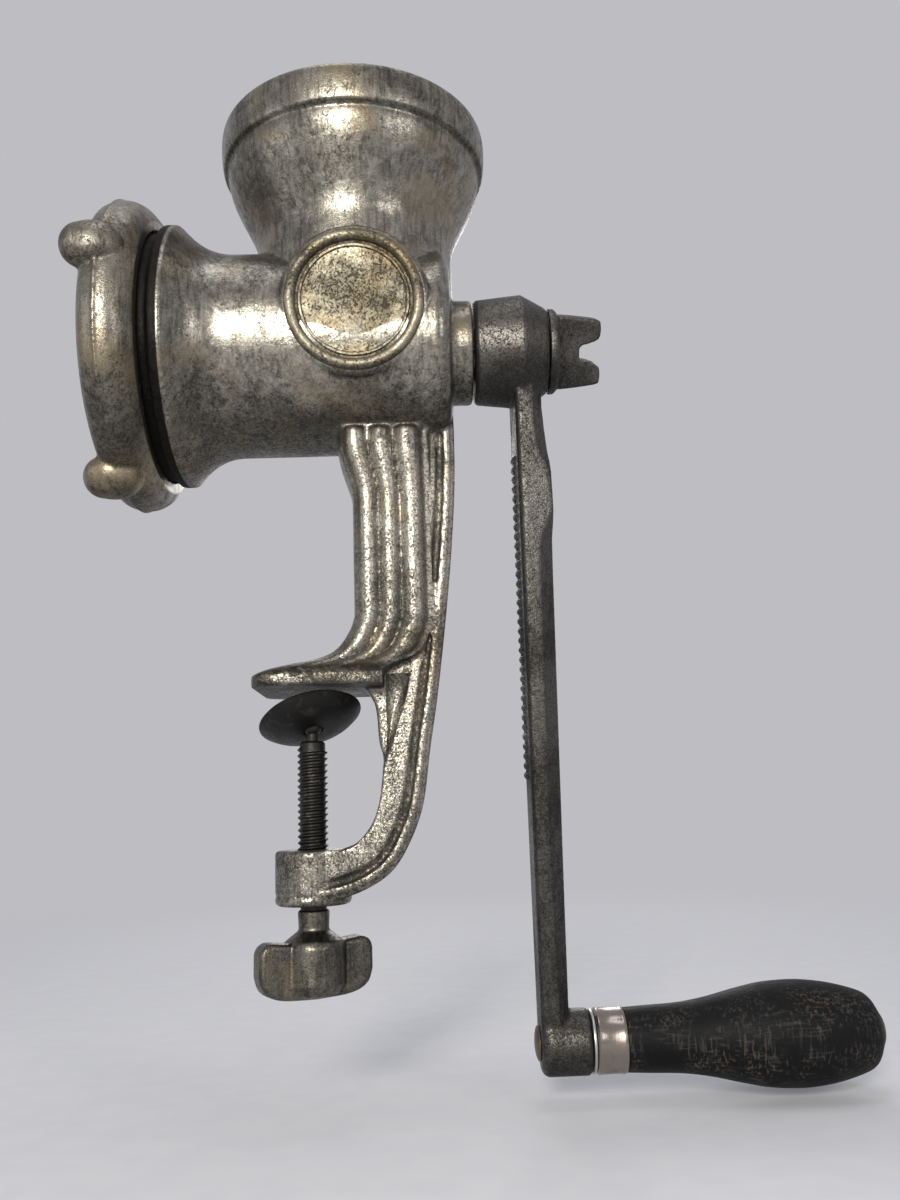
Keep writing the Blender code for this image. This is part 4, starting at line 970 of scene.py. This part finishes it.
    def pockets(self) -> list[Solid]:
        """Shape the cutters of the pocket with sloping sides on each side of the arm."""
        middle = Vector(self.pocket_middle)
        cutters = []
        for side in (-1.0, 1.0):
            loops = []
            for level, share in ((self.face_half + CLEAR, 1.22), (self.web_half, 0.98),
                                 (self.web_half - self.pocket_depth * 0.55, 0.76),
                                 (self.web_half - self.pocket_depth, 0.34)):
                spots = [middle + (Vector(point) - middle) * share for point in self.pocket]
                loops.append([Vector((spot.x, side * level, spot.y)) for spot in spots])
            cutters.append(Solid().skin(loops))
        return cutters

    def badge_place(self) -> Matrix:
        """Place of the medallion, with local Z out of its face."""
        return (Matrix.Translation((self.badge_x, -self.badge_reach, AXIS_HEIGHT + self.badge_height))
                @ Matrix.Rotation(math.pi / 2 + self.badge_tilt, 4, "X"))

    def badge_disc(self) -> Solid:
        """Shape the boss that carries the medallion."""
        line = [(0.0, -0.0004), (self.badge, -0.0004), (self.badge + 0.0012, -0.0014),
                (self.badge + 0.0012, -0.0100), (0.0, -0.0100)]
        return Solid().lathe(line).put(self.badge_place())

    def medallion(self) -> bpy.types.Object:
        """Shape the medallion's face: a round bead, a fine groove and a plain crowned field."""
        mid = self.badge - self.badge_bead / 2
        inner = self.badge - self.badge_bead
        line = [(0.0, -0.0030), (self.badge - 0.0002, -0.0030), (self.badge - 0.0002, -0.0002)]
        line += arc((mid + 0.0002, -0.0002), self.badge_bead / 2 - 0.0004, 0.0, math.pi, 14)
        line += [(inner, -0.0003), (inner - 0.0003, 0.0002), (inner - 0.0008, 0.0002),
                 (inner - 0.0011, -0.0002)]
        line += [((inner - 0.0012) * (1 - i / 8), 0.0006 * eased(i / 8) - 0.0002) for i in range(9)]
        return Solid().lathe(line, 160).put(self.badge_place()).done("medallion")

    def near_joint(self, point: Vector) -> float:
        """Weight of the wide fillets where hopper, barrel and leg meet."""
        across = math.hypot(point.x - HOPPER_PLACE, point.y)
        reach = math.hypot(point.y, point.z - AXIS_HEIGHT)
        if point.z > AXIS_HEIGHT and point.x < self.rear + HOPPER_PLACE - 0.002:
            off = abs(across - self.bowl_at(point.z - AXIS_HEIGHT, 0.0)) + abs(reach - self.barrel)
            if point.y > -0.020 or reach > self.barrel + 0.004:
                return 1.0 - eased((off - 0.001) / 0.005)
        if 0.006 < point.z < AXIS_HEIGHT - 0.018 and point.x < self.leg_right + 0.004:
            off = abs(reach - self.barrel)
            return 0.8 * (1.0 - eased((off - 0.0015) / 0.0045))
        return 0.0

    def build(self, finishes: Finishes) -> None:
        """Build and dress the casting, the medallion's face and the key pin."""
        end = self.rear + self.collar_length
        collar = Solid().lathe([(0.0, end), (self.collar - 0.0006, end), (self.collar, end - 0.0006),
                                (self.collar, 0.0), (0.0, 0.0)])
        collar.put(UNDER_HOPPER @ SIDEWAYS)
        skin = self.barrel_skin().add(self.hopper_skin(), collar, self.leg(), self.arm(), self.badge_disc())
        body = skin.done("grinder_body")
        cast(body, self.voxel, 3)
        soften(body, self.near_joint, self.fillet_passes)
        reach = self.mouth + CLEAR
        bore = Solid().drum(self.barrel - self.wall, reach, self.rear_wall - self.rear)
        chamber = Solid().drum(self.plate_seat, reach, self.chamber_depth - 0.0006)
        shaft = Solid().drum(self.shaft_hole, 0.0, -0.05)
        hole = Solid().drum(self.screw_hole, -0.040, -0.057, 64)
        cut(body, Cut.REMOVE, *self.pockets(), bore.put(TOWARDS_MOUTH), chamber.put(TOWARDS_MOUTH),
            self.hopper_space(), shaft.put(TOWARDS_MOUTH), hole)
        thin_out(body, self.most)
        publish(body, "frame", "tinned_cast_iron", finishes.body_iron, "body_casting")
        publish(self.medallion(), "frame", "tinned_cast_iron", finishes.badge)
        dress(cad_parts["plate_key_pin"].data, finishes.steel)


@dataclass
class CuttingStack:
    """What lies on the barrel's axis: auger, stud, knife, plate and thrust washer."""

    front: float = -0.0364
    rear: float = 0.0325
    core_front: float = 0.0075
    core_rear: float = 0.0105
    flight: float = 0.0243
    pitch: float = 0.0240
    turns: float = 2.6
    root: float = 0.0062
    tip: float = 0.0028
    journal: float = 0.0083
    journal_end: float = 0.0467
    washer: float = 0.0155
    shank: float = 0.0112
    shank_end: float = 0.0645
    tapped: float = 0.0043
    tapped_depth: float = 0.016
    stud_hole: float = 0.0045
    stud_depth: float = 0.0123
    plate: float = 0.0300
    plate_x: float = -0.0491
    plate_thick: float = 0.0060
    hole: float = 0.0026
    hole_rings: int = 3
    first_ring: float = 0.0092
    ring_step: float = 0.0069
    notch: tuple[float, float, float] = (0.0038, 0.0030, 0.008)
    notch_reach: float = 0.0303

    def auger(self) -> bpy.types.Object:
        """Shape the auger with one smooth helical flight."""
        wide, slim = (self.root + self.tip) / 2, (self.root - self.tip) / 2
        section = [(self.core_front - 0.001, 0.0), (self.core_front - 0.001, self.root),
                   (self.core_front + 0.0015, self.root - 0.0008), (self.flight - 0.0006, wide),
                   (self.flight, wide - 0.0006), (self.flight, slim + 0.0006),
                   (self.flight - 0.0006, slim), (self.core_front + 0.0015, 0.0008)]
        spiral = Solid().coil(section, self.pitch * self.turns, self.turns, 190)
        spiral.put(ALONG_CRANK @ Matrix.Translation((0.0, 0.0, self.front + 0.001))
                   @ Matrix.Rotation(math.pi, 4, "Z"))
        line = [(0.0, self.journal_end), (self.journal, self.journal_end), (self.journal, self.rear),
                (self.washer, self.rear), (self.washer, self.rear - self.tip),
                (self.core_rear, self.rear - self.root), (self.core_front, self.front + 0.0004),
                (self.core_front - 0.0004, self.front), (0.0, self.front)]
        core = Solid().lathe(line, 96).put(ALONG_CRANK)
        end, start = self.shank_end, self.journal_end - 0.001
        shank = Solid().brick((self.shank, self.shank, end - start))
        shank.put(ALONG_CRANK @ Matrix.Translation((0.0, 0.0, (end + start) / 2)))
        piece = core.done("auger_worm")
        cut(piece, Cut.JOIN, spiral, shank)
        bored = Solid().drum(self.tapped, end + CLEAR, end - self.tapped_depth, 48)
        socket = Solid().drum(self.stud_hole, self.front + self.stud_depth, self.front - CLEAR, 48)
        cut(piece, Cut.REMOVE, bored.put(ALONG_CRANK), socket.put(ALONG_CRANK))
        return piece

    def grinding_plate(self) -> bpy.types.Object:
        """Shape the plate with its three rings of round holes, a centre hole and a key notch."""
        low, high = self.plate_x, self.plate_x + self.plate_thick
        edge = 0.0006
        line = [(0.0, high), (self.plate - edge, high), (self.plate, high - edge), (self.plate, low + edge),
                (self.plate - edge, low), (0.0, low)]
        piece = Solid().lathe(line, 160).put(ALONG_BARREL).done("grinding_plate")
        drills = Solid()
        for ring in range(self.hole_rings):
            count = 6 * (ring + 1)
            radius = self.first_ring + self.ring_step * ring
            for i in range(count):
                turn = math.tau * (i + ring / 2) / count
                place = Matrix.Translation((radius * math.cos(turn), radius * math.sin(turn),
                                            (low + high) / 2))
                line = [(0.0, 0.004), (self.hole + 0.0012, 0.004), (self.hole + 0.0003, 0.00302),
                        (self.hole, 0.0027), (self.hole, -0.0027), (self.hole + 0.0003, -0.00302),
                        (self.hole + 0.0012, -0.004), (0.0, -0.004)]
                drills.add(Solid().lathe(line, 20).put(place))
        centre = Solid().drum(self.stud_hole, high + CLEAR, low - CLEAR, 48)
        notch = Solid().brick(self.notch).put(Matrix.Translation((0.0, 0.0, (low + high) / 2)))
        cut(piece, Cut.REMOVE, drills.put(ALONG_BARREL), centre.put(ALONG_BARREL),
            notch.put(Matrix.Translation((0.0, 0.0, AXIS_HEIGHT - self.notch_reach)) @ SIDEWAYS))
        return piece

    def build(self, finishes: Finishes) -> None:
        """Build and dress the pieces on the barrel's axis."""
        publish(self.auger(), "auger", "tinned_cast_iron", finishes.iron, "feed_auger")
        publish(self.grinding_plate(), "plate", "bright_steel", finishes.steel, "cutter_plate", sharp=30.0)
        for node, finish in (("auger_front_stud", finishes.steel), ("cutter_knife", finishes.steel),
                             ("auger_thrust_washer", finishes.fibre)):
            dress(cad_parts[node].data, finish)


@dataclass
class RingNut:
    """The cast ring that holds the plate in, with four horned lugs."""

    back_x: float = -0.0399
    width: float = 0.0144
    bore: float = 0.0345
    back: float = 0.0378
    belly: float = 0.0428
    front: float = 0.0370
    lip: float = 0.0272
    lip_back: float = 0.0632
    thread_pitch: float = 0.0016
    lugs: int = 4
    lug_turn: float = math.radians(19.5)
    lug_width: float = 0.0132
    lug_proud: float = 0.0042
    lug_forward: float = 0.0040
    lug_length: float = 0.0160

    def build(self, finishes: Finishes) -> None:
        """Build and dress the ring."""
        back = HOPPER_PLACE - self.back_x
        front = back + self.width
        shoulder = self.belly - 0.0015
        outer = smooth_line([(self.front, front), (shoulder, front - self.width * 0.16),
                             (self.belly, back + self.width * 0.5), (shoulder, back + self.width * 0.2),
                             (self.back, back)], 8)
        seam = front - self.width * 0.40
        ridge = min(range(len(outer)), key=lambda i: abs(outer[i][1] - seam))
        outer[ridge] = (outer[ridge][0] + 0.0006, outer[ridge][1])
        line = [(0.020, front - 0.001), (self.lip + 0.0004, front - 0.001), (self.lip + 0.0012, front)]
        line += outer + [(0.020, back)]
        skin = Solid().lathe(line, 160, closed=True).put(TOWARDS_MOUTH)
        middle = self.lug_length / 2 - front - self.lug_forward
        height = self.belly + self.lug_proud - self.bore - 0.0008
        out = self.belly + self.lug_proud - height / 2
        for i in range(self.lugs):
            turn = self.lug_turn + math.tau * i / self.lugs
            place = (UNDER_HOPPER @ Matrix.Rotation(-turn, 4, "X")
                     @ Matrix.Translation((middle, -out, 0.0)))
            lug = Solid().egg((self.lug_length, height, self.lug_width))
            horn = Solid().egg((0.0104, height * 0.9, self.lug_width * 0.9))
            horn.put(Matrix.Translation((0.0053 - self.lug_length / 2, -0.0003, 0.0)))
            skin.add(lug.add(horn).put(place))
        ring = skin.done("mouth_ring")
        cast(ring, 0.00042, 4)
        space = [(0.0, self.lip_back), (self.bore, self.lip_back)]
        for i in range(int((self.lip_back - back) / self.thread_pitch)):
            high = self.lip_back - 0.0012 - i * self.thread_pitch
            space += [(self.bore, high), (self.bore + 0.0006, high - self.thread_pitch * 0.5)]
        space += [(self.bore, back + 0.001), (self.bore + 0.0006, back), (self.bore + 0.0006, back - 0.01),
                  (0.0, back - 0.01)]
        low = self.lip_back - CLEAR
        eye = [(0.0, front + 0.006), (self.lip + 0.0006, front + 0.006), (self.lip + 0.0006, front - 0.0002),
               (self.lip, front - 0.0014), (self.lip, low), (0.0, low)]
        cut(ring, Cut.REMOVE, *(Solid().lathe(room, 128).put(TOWARDS_MOUTH) for room in (space, eye)))
        thin_out(ring, 120000)
        publish(ring, "ring", "tinned_cast_iron", finishes.ring_iron, "ring_nut")


@dataclass
class Crank:
    """The crank arm with its thumb screw, rivet, washer, ferrule and grip."""

    hub: float = 0.0470
    hub_length: float = 0.0208
    hub_rear: float = 0.0147
    hub_ridge: float = 0.0160
    hub_front: float = 0.0124
    length: float = 0.1933
    offset: float = 0.0105
    lean: float = 0.0016
    thick: float = 0.0096
    thick_loss: float = 0.0018
    wide: float = 0.0200
    wide_loss: float = 0.0070
    square: float = 0.0118
    web: float = 0.0030
    screw_hole: float = 0.0043
    pin_hole: float = 0.0033
    stations: tuple[tuple[float, float, float], ...] = (
        (0.0414, 0.34, 0.0016), (0.090, 0.38, 0.0018), (0.125, 0.40, 0.0012), (0.155, 0.36, 0.0006),
        (0.172, 0.20, 0.0002), (0.188, 0.06, 0.0), (0.245, 0.05, -0.0003), (0.262, 0.18, -0.0002),
        (0.285, 0.38, 0.0), (0.34, 0.44, 0.0), (0.60, 0.46, 0.0), (0.80, 0.46, 0.0), (0.92, 0.40, 0.0),
        (0.985, 0.34, 0.0))
    bars: int = 34
    first_bar: float = 0.0315
    bar_pitch: float = 0.0027
    boss: float = 0.0087
    boss_x: float = 0.0591
    boss_length: float = 0.0136
    thumb_x: float = 0.0681
    thumb_flange: float = 0.0120
    thumb_length: float = 0.0140
    thumb_half: float = 0.0104
    thumb_thick: float = 0.0068
    thumb_shank: float = 0.0040
    thumb_turn: float = math.radians(25.0)
    grip_x: float = 0.0740
    ferrule_length: float = 0.0084
    ferrule: float = 0.0087
    grip_length: float = 0.0698
    grip: float = 0.0139
    grip_bore: float = 0.0034
    washer: float = 0.0084
    dome: float = 0.0052
    peen: float = 0.0047

    def arm_loop(self, share: float, chamfer: float, slim: float) -> list[Vector]:
        """Outline of the arm at a share of its length.

        Args:
            share: Place along the arm.
            chamfer: Width of the slope on the outer side, as a share of the thickness.
            slim: How much thinner the arm is there.

        Returns:
            The corners of the outline.
        """
        thick = self.thick - self.thick_loss * share - slim
        half = (self.wide - self.wide_loss * share) / 2
        left = self.hub + self.offset + self.lean * share
        right = left + thick
        cut_back = thick * chamfer
        near = thick * 0.12
        drop = -self.length * share
        corners = [(left + near, -half), (right - cut_back, -half), (right, -half + cut_back),
                   (right, half - cut_back), (right - cut_back, half), (left + near, half),
                   (left, half - near), (left, -half + near)]
        return [CRANK_TURN @ Vector((x, y, drop)) for x, y in corners]

    def arm(self) -> bpy.types.Object:
        """Shape the arm with its hub, knuckle, end boss and a row of raised bars on its inner face."""
        end = self.hub + self.hub_length
        line = [(0.0, end), (self.hub_front - 0.0008, end), (self.hub_front, end - 0.0008),
                (self.hub_ridge, self.hub + 0.0134), (self.hub_rear, self.hub + 0.0008),
                (self.hub_rear - 0.0008, self.hub), (0.0, self.hub)]
        skin = Solid().lathe(line, 96).put(ALONG_CRANK)
        skin.add(Solid().skin([self.arm_loop(*station) for station in self.stations]))
        stop = self.boss_x + self.boss_length
        line = [(0.0, stop), (self.boss - 0.0007, stop), (self.boss, stop - 0.0007)]
        line += arc((self.boss - 0.0024, self.boss_x + 0.0024), 0.0024, 0.0, -math.pi / 2, 6)
        line += [(0.0, self.boss_x)]
        skin.add(Solid().lathe(line, 96).put(self.lower()))
        for i in range(self.bars):
            drop = self.first_bar + self.bar_pitch * i
            share = drop / self.length
            left = self.hub + self.offset + self.lean * share
            bar = Solid().egg((0.0024, 0.0090, self.bar_pitch * 0.84), 16)
            skin.add(bar.put(CRANK_TURN @ Matrix.Translation((left, 0.0, -drop))))
        arm = skin.done("crank_handle_arm")
        cast(arm, 0.00042, 3)
        deep = self.hub_length - self.web
        socket = Solid().brick((self.square, self.square, deep + CLEAR))
        socket.put(ALONG_CRANK @ Matrix.Translation((0.0, 0.0, self.hub + (deep - CLEAR) / 2)))
        eye = Solid().drum(self.screw_hole, end + CLEAR, end - self.web - CLEAR, 48)
        pin = Solid().drum(self.pin_hole, stop + CLEAR, self.boss_x - CLEAR, 48)
        cut(arm, Cut.REMOVE, socket, eye.put(ALONG_CRANK), pin.put(self.lower()))
        thin_out(arm, 120000)
        return arm

    def thumb(self) -> bpy.types.Object:
        """Shape the thumb screw: round flange, two ears with a round notch between, and shank."""
        flange = self.thumb_x + 0.0026
        line = [(0.0, flange), (self.thumb_flange - 0.001, flange), (self.thumb_flange, flange - 0.001),
                (self.thumb_flange, self.thumb_x), (self.thumb_shank, self.thumb_x),
                (self.thumb_shank, self.thumb_x - 0.014), (0.0, self.thumb_x - 0.014)]
        skin = Solid().lathe(line, 64).put(ALONG_CRANK)
        half = smooth_line([(0.0, 0.98), (0.25, 0.98), (0.60, 0.93), (0.94, 0.86), (1.0, 0.76), (1.0, 0.46),
                            (0.93, 0.34), (0.78, 0.26), (0.62, 0.20), (0.56, 0.08)], 5)
        side = [(self.thumb_x + 0.001 + self.thumb_length * a, self.thumb_half * b) for a, b in half]
        outline = side + [(x, -y) for x, y in reversed(side)]
        ears = Solid().slab(outline, self.thumb_thick / 2, 0.0011)
        skin.add(ears.put(CRANK_TURN @ Matrix.Rotation(self.thumb_turn + math.pi / 2, 4, "X")))
        piece = skin.done("thumb_screw")
        cast(piece, 0.00032, 5)
        thin_out(piece, 60000)
        return piece

    def lower(self) -> Matrix:
        """Place of the grip's axis, with local Z along it."""
        return CRANK_TURN @ Matrix.Translation((0.0, 0.0, -self.length)) @ SIDEWAYS

    def handle(self) -> list[bpy.types.Object]:
        """Shape the grip, its ferrule, the washer and the rivet."""
        place = self.lower()
        start = self.grip_x + self.ferrule_length
        end = start + self.grip_length
        shares = ((0.0, 0.60), (0.10, 0.625), (0.22, 0.655), (0.33, 0.735), (0.45, 0.87), (0.55, 0.965),
                  (0.64, 1.0), (0.72, 0.995), (0.82, 0.93), (0.92, 0.80), (0.97, 0.68), (1.0, 0.46))
        outline = smooth_line([(self.grip * r, start + self.grip_length * a) for a, r in shares], 6)
        bore = self.grip_bore
        line = [(bore, end)] + outline[::-1] + [(0.0076, start), (0.0076, self.grip_x + 0.0003),
                                                (bore, self.grip_x + 0.0003)]
        grip = Solid().lathe(line, 96, closed=True).put(place).done("turned_grip")
        stop = start - 0.0003
        line = [(0.0079, stop), (self.ferrule - 0.0002, stop), (self.ferrule, stop - 0.0003),
                (self.ferrule, stop - 0.0009), (self.ferrule - 0.00012, stop - 0.0012),
                (self.ferrule - 0.00012, self.grip_x + 0.0014), (self.ferrule, self.grip_x + 0.0011),
                (self.ferrule, self.grip_x + 0.0006), (self.ferrule - 0.0006, self.grip_x),
                (0.0079, self.grip_x)]
        ferrule = Solid().lathe(line, 96, closed=True).put(place).done("grip_ferrule")
        low, high = self.boss_x + self.boss_length + 0.0003, self.boss_x + self.boss_length + 0.0010
        line = [(bore, high), (self.washer - 0.0001, high), (self.washer, high - 0.0002),
                (self.washer, low + 0.0002), (self.washer - 0.0001, low), (bore, low)]
        washer = Solid().lathe(line, 64, closed=True).put(place).done("grip_washer")
        left, right = self.boss_x - 0.0003, end + 0.0003
        turns = [math.pi / 2 * i / 8 for i in range(9)]
        line = [(self.dome * math.sin(a), right + 0.0018 * math.cos(a)) for a in turns]
        line += [(self.dome, right), (0.0030, right), (0.0030, left), (self.peen, left)]
        line += [(self.peen * math.cos(a), left - 0.0012 * math.sin(a)) for a in turns[1:]]
        line[0] = (0.0, right + 0.0018)
        line[-1] = (0.0, left - 0.0012)
        rivet = Solid().lathe(line, 64).put(place).done("grip_rivet")
        return [grip, ferrule, washer, rivet]

    def build(self, finishes: Finishes) -> None:
        """Build and dress the crank's pieces."""
        publish(self.arm(), "crank", "dark_cast_iron", finishes.arm_iron, "crank_arm")
        publish(self.thumb(), "thumb", "dark_cast_iron", finishes.arm_iron, "crank_thumb_screw")
        grip, ferrule, washer, rivet = self.handle()
        publish(grip, "grip", "black_wood", finishes.wood, "handle_grip")
        publish(ferrule, "grip", "ferrule_tin", finishes.ferrule, "handle_ferrule")
        publish(washer, "crank", "bright_steel", finishes.steel, "handle_washer")
        publish(rivet, "crank", "bright_steel", finishes.rivet, "handle_spindle")


@dataclass
class TableClamp:
    """The clamp screw with its thread, winged head, swivel stud and dished pad."""

    radius: float = 0.00397
    pitch: float = 0.0016
    depth: float = 0.0006
    turns: float = 24.6
    top: float = -0.0132
    stud_hole: float = 0.0019
    wing_top: float = -0.0634
    wing_height: float = 0.0146
    hub: float = 0.0080
    neck: float = 0.0041
    neck_top: float = -0.0562
    span: float = 0.0308
    thick: float = 0.0066
    turn: float = math.radians(28.0)
    pad: float = 0.0138
    pad_heading: float = math.radians(32.3)
    pad_tilt: float = math.radians(26.6)
    ball: float = 0.0028
    ball_z: float = -0.0090

    def screw(self) -> bpy.types.Object:
        """Shape the screw with its helical ridge."""
        low = self.wing_top - self.wing_height + 0.0035
        core = self.radius - self.depth
        end = self.top - 0.0006
        line = [(0.0, self.top), (core - 0.0006, self.top), (core, end), (core, low), (0.0, low)]
        piece = Solid().lathe(line, 64).done("clamp_screw_thread")
        climb = self.pitch * self.turns
        section = [(core - 0.0003, 0.0), (core - 0.0003, self.pitch * 0.92),
                   (core + 0.0001, self.pitch * 0.80), (self.radius, self.pitch * 0.54),
                   (self.radius, self.pitch * 0.40), (core + 0.0001, self.pitch * 0.12)]
        ridge = Solid().coil(section, climb, self.turns, 590)
        cut(piece, Cut.JOIN, ridge.put(Matrix.Translation((0.0, 0.0, end - 0.0006 - climb - self.pitch))))
        hole = Solid().drum(self.stud_hole, CLEAR, -0.0063, 32)
        cut(piece, Cut.REMOVE, hole.put(Matrix.Translation((0.0, 0.0, self.top))))
        return piece

    def head(self) -> bpy.types.Object:
        """Shape the winged cast head with its short neck."""
        bottom = self.wing_top - self.wing_height
        line = [(0.0, self.neck_top), (self.neck - 0.0003, self.neck_top),
                (self.neck, self.neck_top - 0.0004), (self.neck - 0.0002, self.wing_top + 0.0022),
                (self.hub * 0.72, self.wing_top + 0.0008),
                (self.hub * 0.92, self.wing_top - 0.0004), (self.hub, self.wing_top - 0.0018),
                (self.hub, bottom + 0.0035), (self.hub * 0.8, bottom + 0.0012), (0.0, bottom)]
        skin = Solid().lathe(line, 64)
        half = self.span / 2
        corner = self.wing_height * 0.22
        low = smooth_line([(half * a, bottom + self.wing_height * b) for a, b in (
            (1.0, 0.42), (0.9, 0.18), (0.6, 0.04), (0.0, 0.0))], 6)
        right = [(0.0, self.wing_top - 0.0014)]
        right += arc((half - corner, self.wing_top - corner), corner, math.pi / 2, 0.0, 6) + low
        outline = right + [(-x, z) for x, z in reversed(right[1:-1])]
        wings = Solid().slab(outline, self.thick / 2, 0.0013)
        skin.add(wings.put(Matrix.Rotation(self.turn, 4, "Z") @ UPRIGHT))
        piece = skin.done("clamp_wing_head")
        cast(piece, 0.00034, 7)
        bored = self.radius - self.depth + 0.0002
        cut(piece, Cut.REMOVE, Solid().drum(bored, self.neck_top + CLEAR, bottom + 0.0032, 48))
        thin_out(piece, 60000)
        return piece

    def swivel(self) -> bpy.types.Object:
        """Shape the ball stud in the screw's end."""
        foot = self.top - 0.0060
        turns = [math.pi * 0.8 * i / 16 for i in range(1, 17)]
        line = [(0.0, self.ball_z + self.ball)]
        line += [(self.ball * math.sin(a), self.ball_z + self.ball * math.cos(a)) for a in turns]
        line += [(0.0016, foot), (0.0, foot)]
        return Solid().lathe(line, 48).done("swivel_ball")

    def dish(self) -> bpy.types.Object:
        """Shape the dished pad, tilted as it hangs."""
        hole = 0.0031
        outer = smooth_line([(self.pad, 0.00225), (self.pad * 0.8, 0.00015), (self.pad * 0.5, -0.00128),
                             (hole * 0.86, -hole * 0.55)], 6)
        line = [(hole * 0.62, 0.0031), (0.0044, 0.0031), (0.0049, 0.0028), (0.0062, 0.0),
                (self.pad - 0.0016, 0.0024), (self.pad - 0.0008, 0.0030)]
        line += outer + [(hole, 0.0), (hole * 0.86, hole * 0.5)]
        hinge = Vector((-math.cos(self.pad_heading), -math.sin(self.pad_heading), 0.0))
        place = Matrix.Translation((0.0, 0.0, self.ball_z)) @ Matrix.Rotation(self.pad_tilt, 4, hinge)
        return Solid().lathe(line, 112, closed=True).put(place).done("dished_pad")

    def build(self, finishes: Finishes) -> None:
        """Build and dress the clamp's pieces."""
        publish(self.screw(), "screw", "black_steel", finishes.black, "clamp_screw")
        publish(self.head(), "screw", "tinned_cast_iron", finishes.wing_iron, "clamp_wing_handle")
        publish(self.swivel(), "swivel", "bright_steel", finishes.black, "pad_ball_stud")
        publish(self.dish(), "pad", "black_steel", finishes.pad, "clamp_pad")


@dataclass
class Studio:
    """Pale floor, pale surround, soft lamps and the camera."""

    backdrop: Colour = (0.51, 0.51, 0.54)
    fill: Colour = (0.9, 0.93, 1.0)
    fill_strength: float = 0.35
    floor_z: float = -0.1125
    fade: tuple[float, float] = (0.22, 0.85)
    aim: tuple[float, float, float] = (0.02, 0.0, 0.03)
    eye: tuple[float, float, float] = (0.0294, -0.2819, -0.0320)
    eye_turns: tuple[tuple[float, str], ...] = ((1.64, "Z"), (1.69, "Y"), (-11.25, "X"))

    def floor(self) -> None:
        """Lay the floor, which fades into the surround."""
        m = Maker("pale floor")
        away = m.node("ShaderNodeVectorMath", {"operation": "LENGTH"}, m.point, output="Value")
        grain = m.noise(90.0, 3.0, 0.5)
        tone = m.blend(grain.ramp(0.35, 0.65), (0.70, 0.70, 0.735), (0.72, 0.72, 0.75))
        matt = m.node("ShaderNodeBsdfPrincipled", {}, Base_Color=tone, Roughness=0.8, Specular_IOR_Level=0.2)
        glow = m.node("ShaderNodeEmission", {}, (*self.backdrop, 1.0), 1.0)
        mixed = m.node("ShaderNodeMixShader", {}, away.ramp(*self.fade), matt, glow)
        m.node("ShaderNodeOutputMaterial", {}, mixed)
        sheet = Solid()
        bmesh.ops.create_grid(sheet.bm, x_segments=8, y_segments=8, size=4.0)
        ground = sheet.put(Matrix.Translation((0.0, 0.0, self.floor_z))).done("floor")
        ground.data.materials.append(m.material)

    def world(self) -> None:
        """Light the surround evenly and show it pale to the camera and in the metal."""
        world = bpy.data.worlds.new("surround")
        tree = Nodes(world)
        seen = tree.node("ShaderNodeLightPath", {}, output="Is Camera Ray")
        rays = seen.socket.node.outputs
        for name in ("Is Glossy Ray", "Is Transmission Ray"):
            seen = tree.node("ShaderNodeMath", {"operation": "MAXIMUM"}, seen, Value(tree, rays[name]))
        fill = tree.node("ShaderNodeBackground", {}, (*self.fill, 1.0), self.fill_strength)
        shown = tree.node("ShaderNodeBackground", {}, (*self.backdrop, 1.0))
        tree.node("ShaderNodeOutputWorld", {}, tree.node("ShaderNodeMixShader", {}, seen, fill, shown))
        bpy.context.scene.world = world

    def lamp(self, name: str, at: tuple[float, float, float], size: float, watts: float,
             colour: Colour) -> None:
        """Hang a soft square lamp that faces the grinder.

        Args:
            name: Its name.
            at: Its place.
            size: Its side.
            watts: Its power.
            colour: Its colour.
        """
        light = bpy.data.lights.new(name, "AREA")
        light.size = size
        light.energy = watts
        light.color = colour
        hung = bpy.data.objects.new(name, light)
        way = Vector(self.aim) - Vector(at)
        hung.matrix_world = Matrix.Translation(at) @ way.to_track_quat("-Z", "Y").to_matrix().to_4x4()
        bpy.context.scene.collection.objects.link(hung)

    def camera(self) -> None:
        """Set the camera at the view that the sizes were worked out from."""
        data = bpy.data.cameras.new("view")
        data.lens = 31.5
        data.sensor_width = 36.0
        data.sensor_fit = "AUTO"
        data.clip_start = 0.01
        turn = Matrix.Identity(3)
        for degrees, axis in self.eye_turns:
            turn = turn @ Matrix.Rotation(math.radians(degrees), 3, axis)
        turn = turn @ Matrix(((1, 0, 0), (0, 0, 1), (0, -1, 0)))
        seen = bpy.data.objects.new("view", data)
        seen.matrix_world = Matrix.Translation(self.eye) @ turn.transposed().to_4x4()
        bpy.context.scene.collection.objects.link(seen)
        bpy.context.scene.camera = seen

    def build(self) -> None:
        """Build the studio."""
        bpy.context.scene.view_settings.view_transform = "Standard"
        self.floor()
        self.world()
        self.lamp("key lamp", (-0.16, -0.95, 0.30), 0.24, 8.6, (1.0, 0.97, 0.90))
        self.lamp("side lamp", (0.62, -0.75, 0.30), 0.22, 1.1, (1.0, 0.98, 0.95))
        self.lamp("top lamp", (0.05, -0.10, 0.95), 0.5, 1.6, (0.97, 0.98, 1.0))
        self.lamp("left lamp", (-0.80, -0.45, 0.20), 0.35, 0.4, (1.0, 0.99, 0.97))
        self.lamp("back lamp", (0.10, 0.90, 0.40), 0.4, 2.0, (1.0, 0.98, 0.95))
        self.camera()


def main() -> None:
    """Build the studio and every sub-assembly in order."""
    logging.basicConfig(level=logging.INFO, format="%(name)s: %(message)s")
    Studio().build()
    finishes = Finishes()
    Housing().build(finishes)
    CuttingStack().build(finishes)
    RingNut().build(finishes)
    Crank().build(finishes)
    TableClamp().build(finishes)


if __name__ == "__main__":
    main()
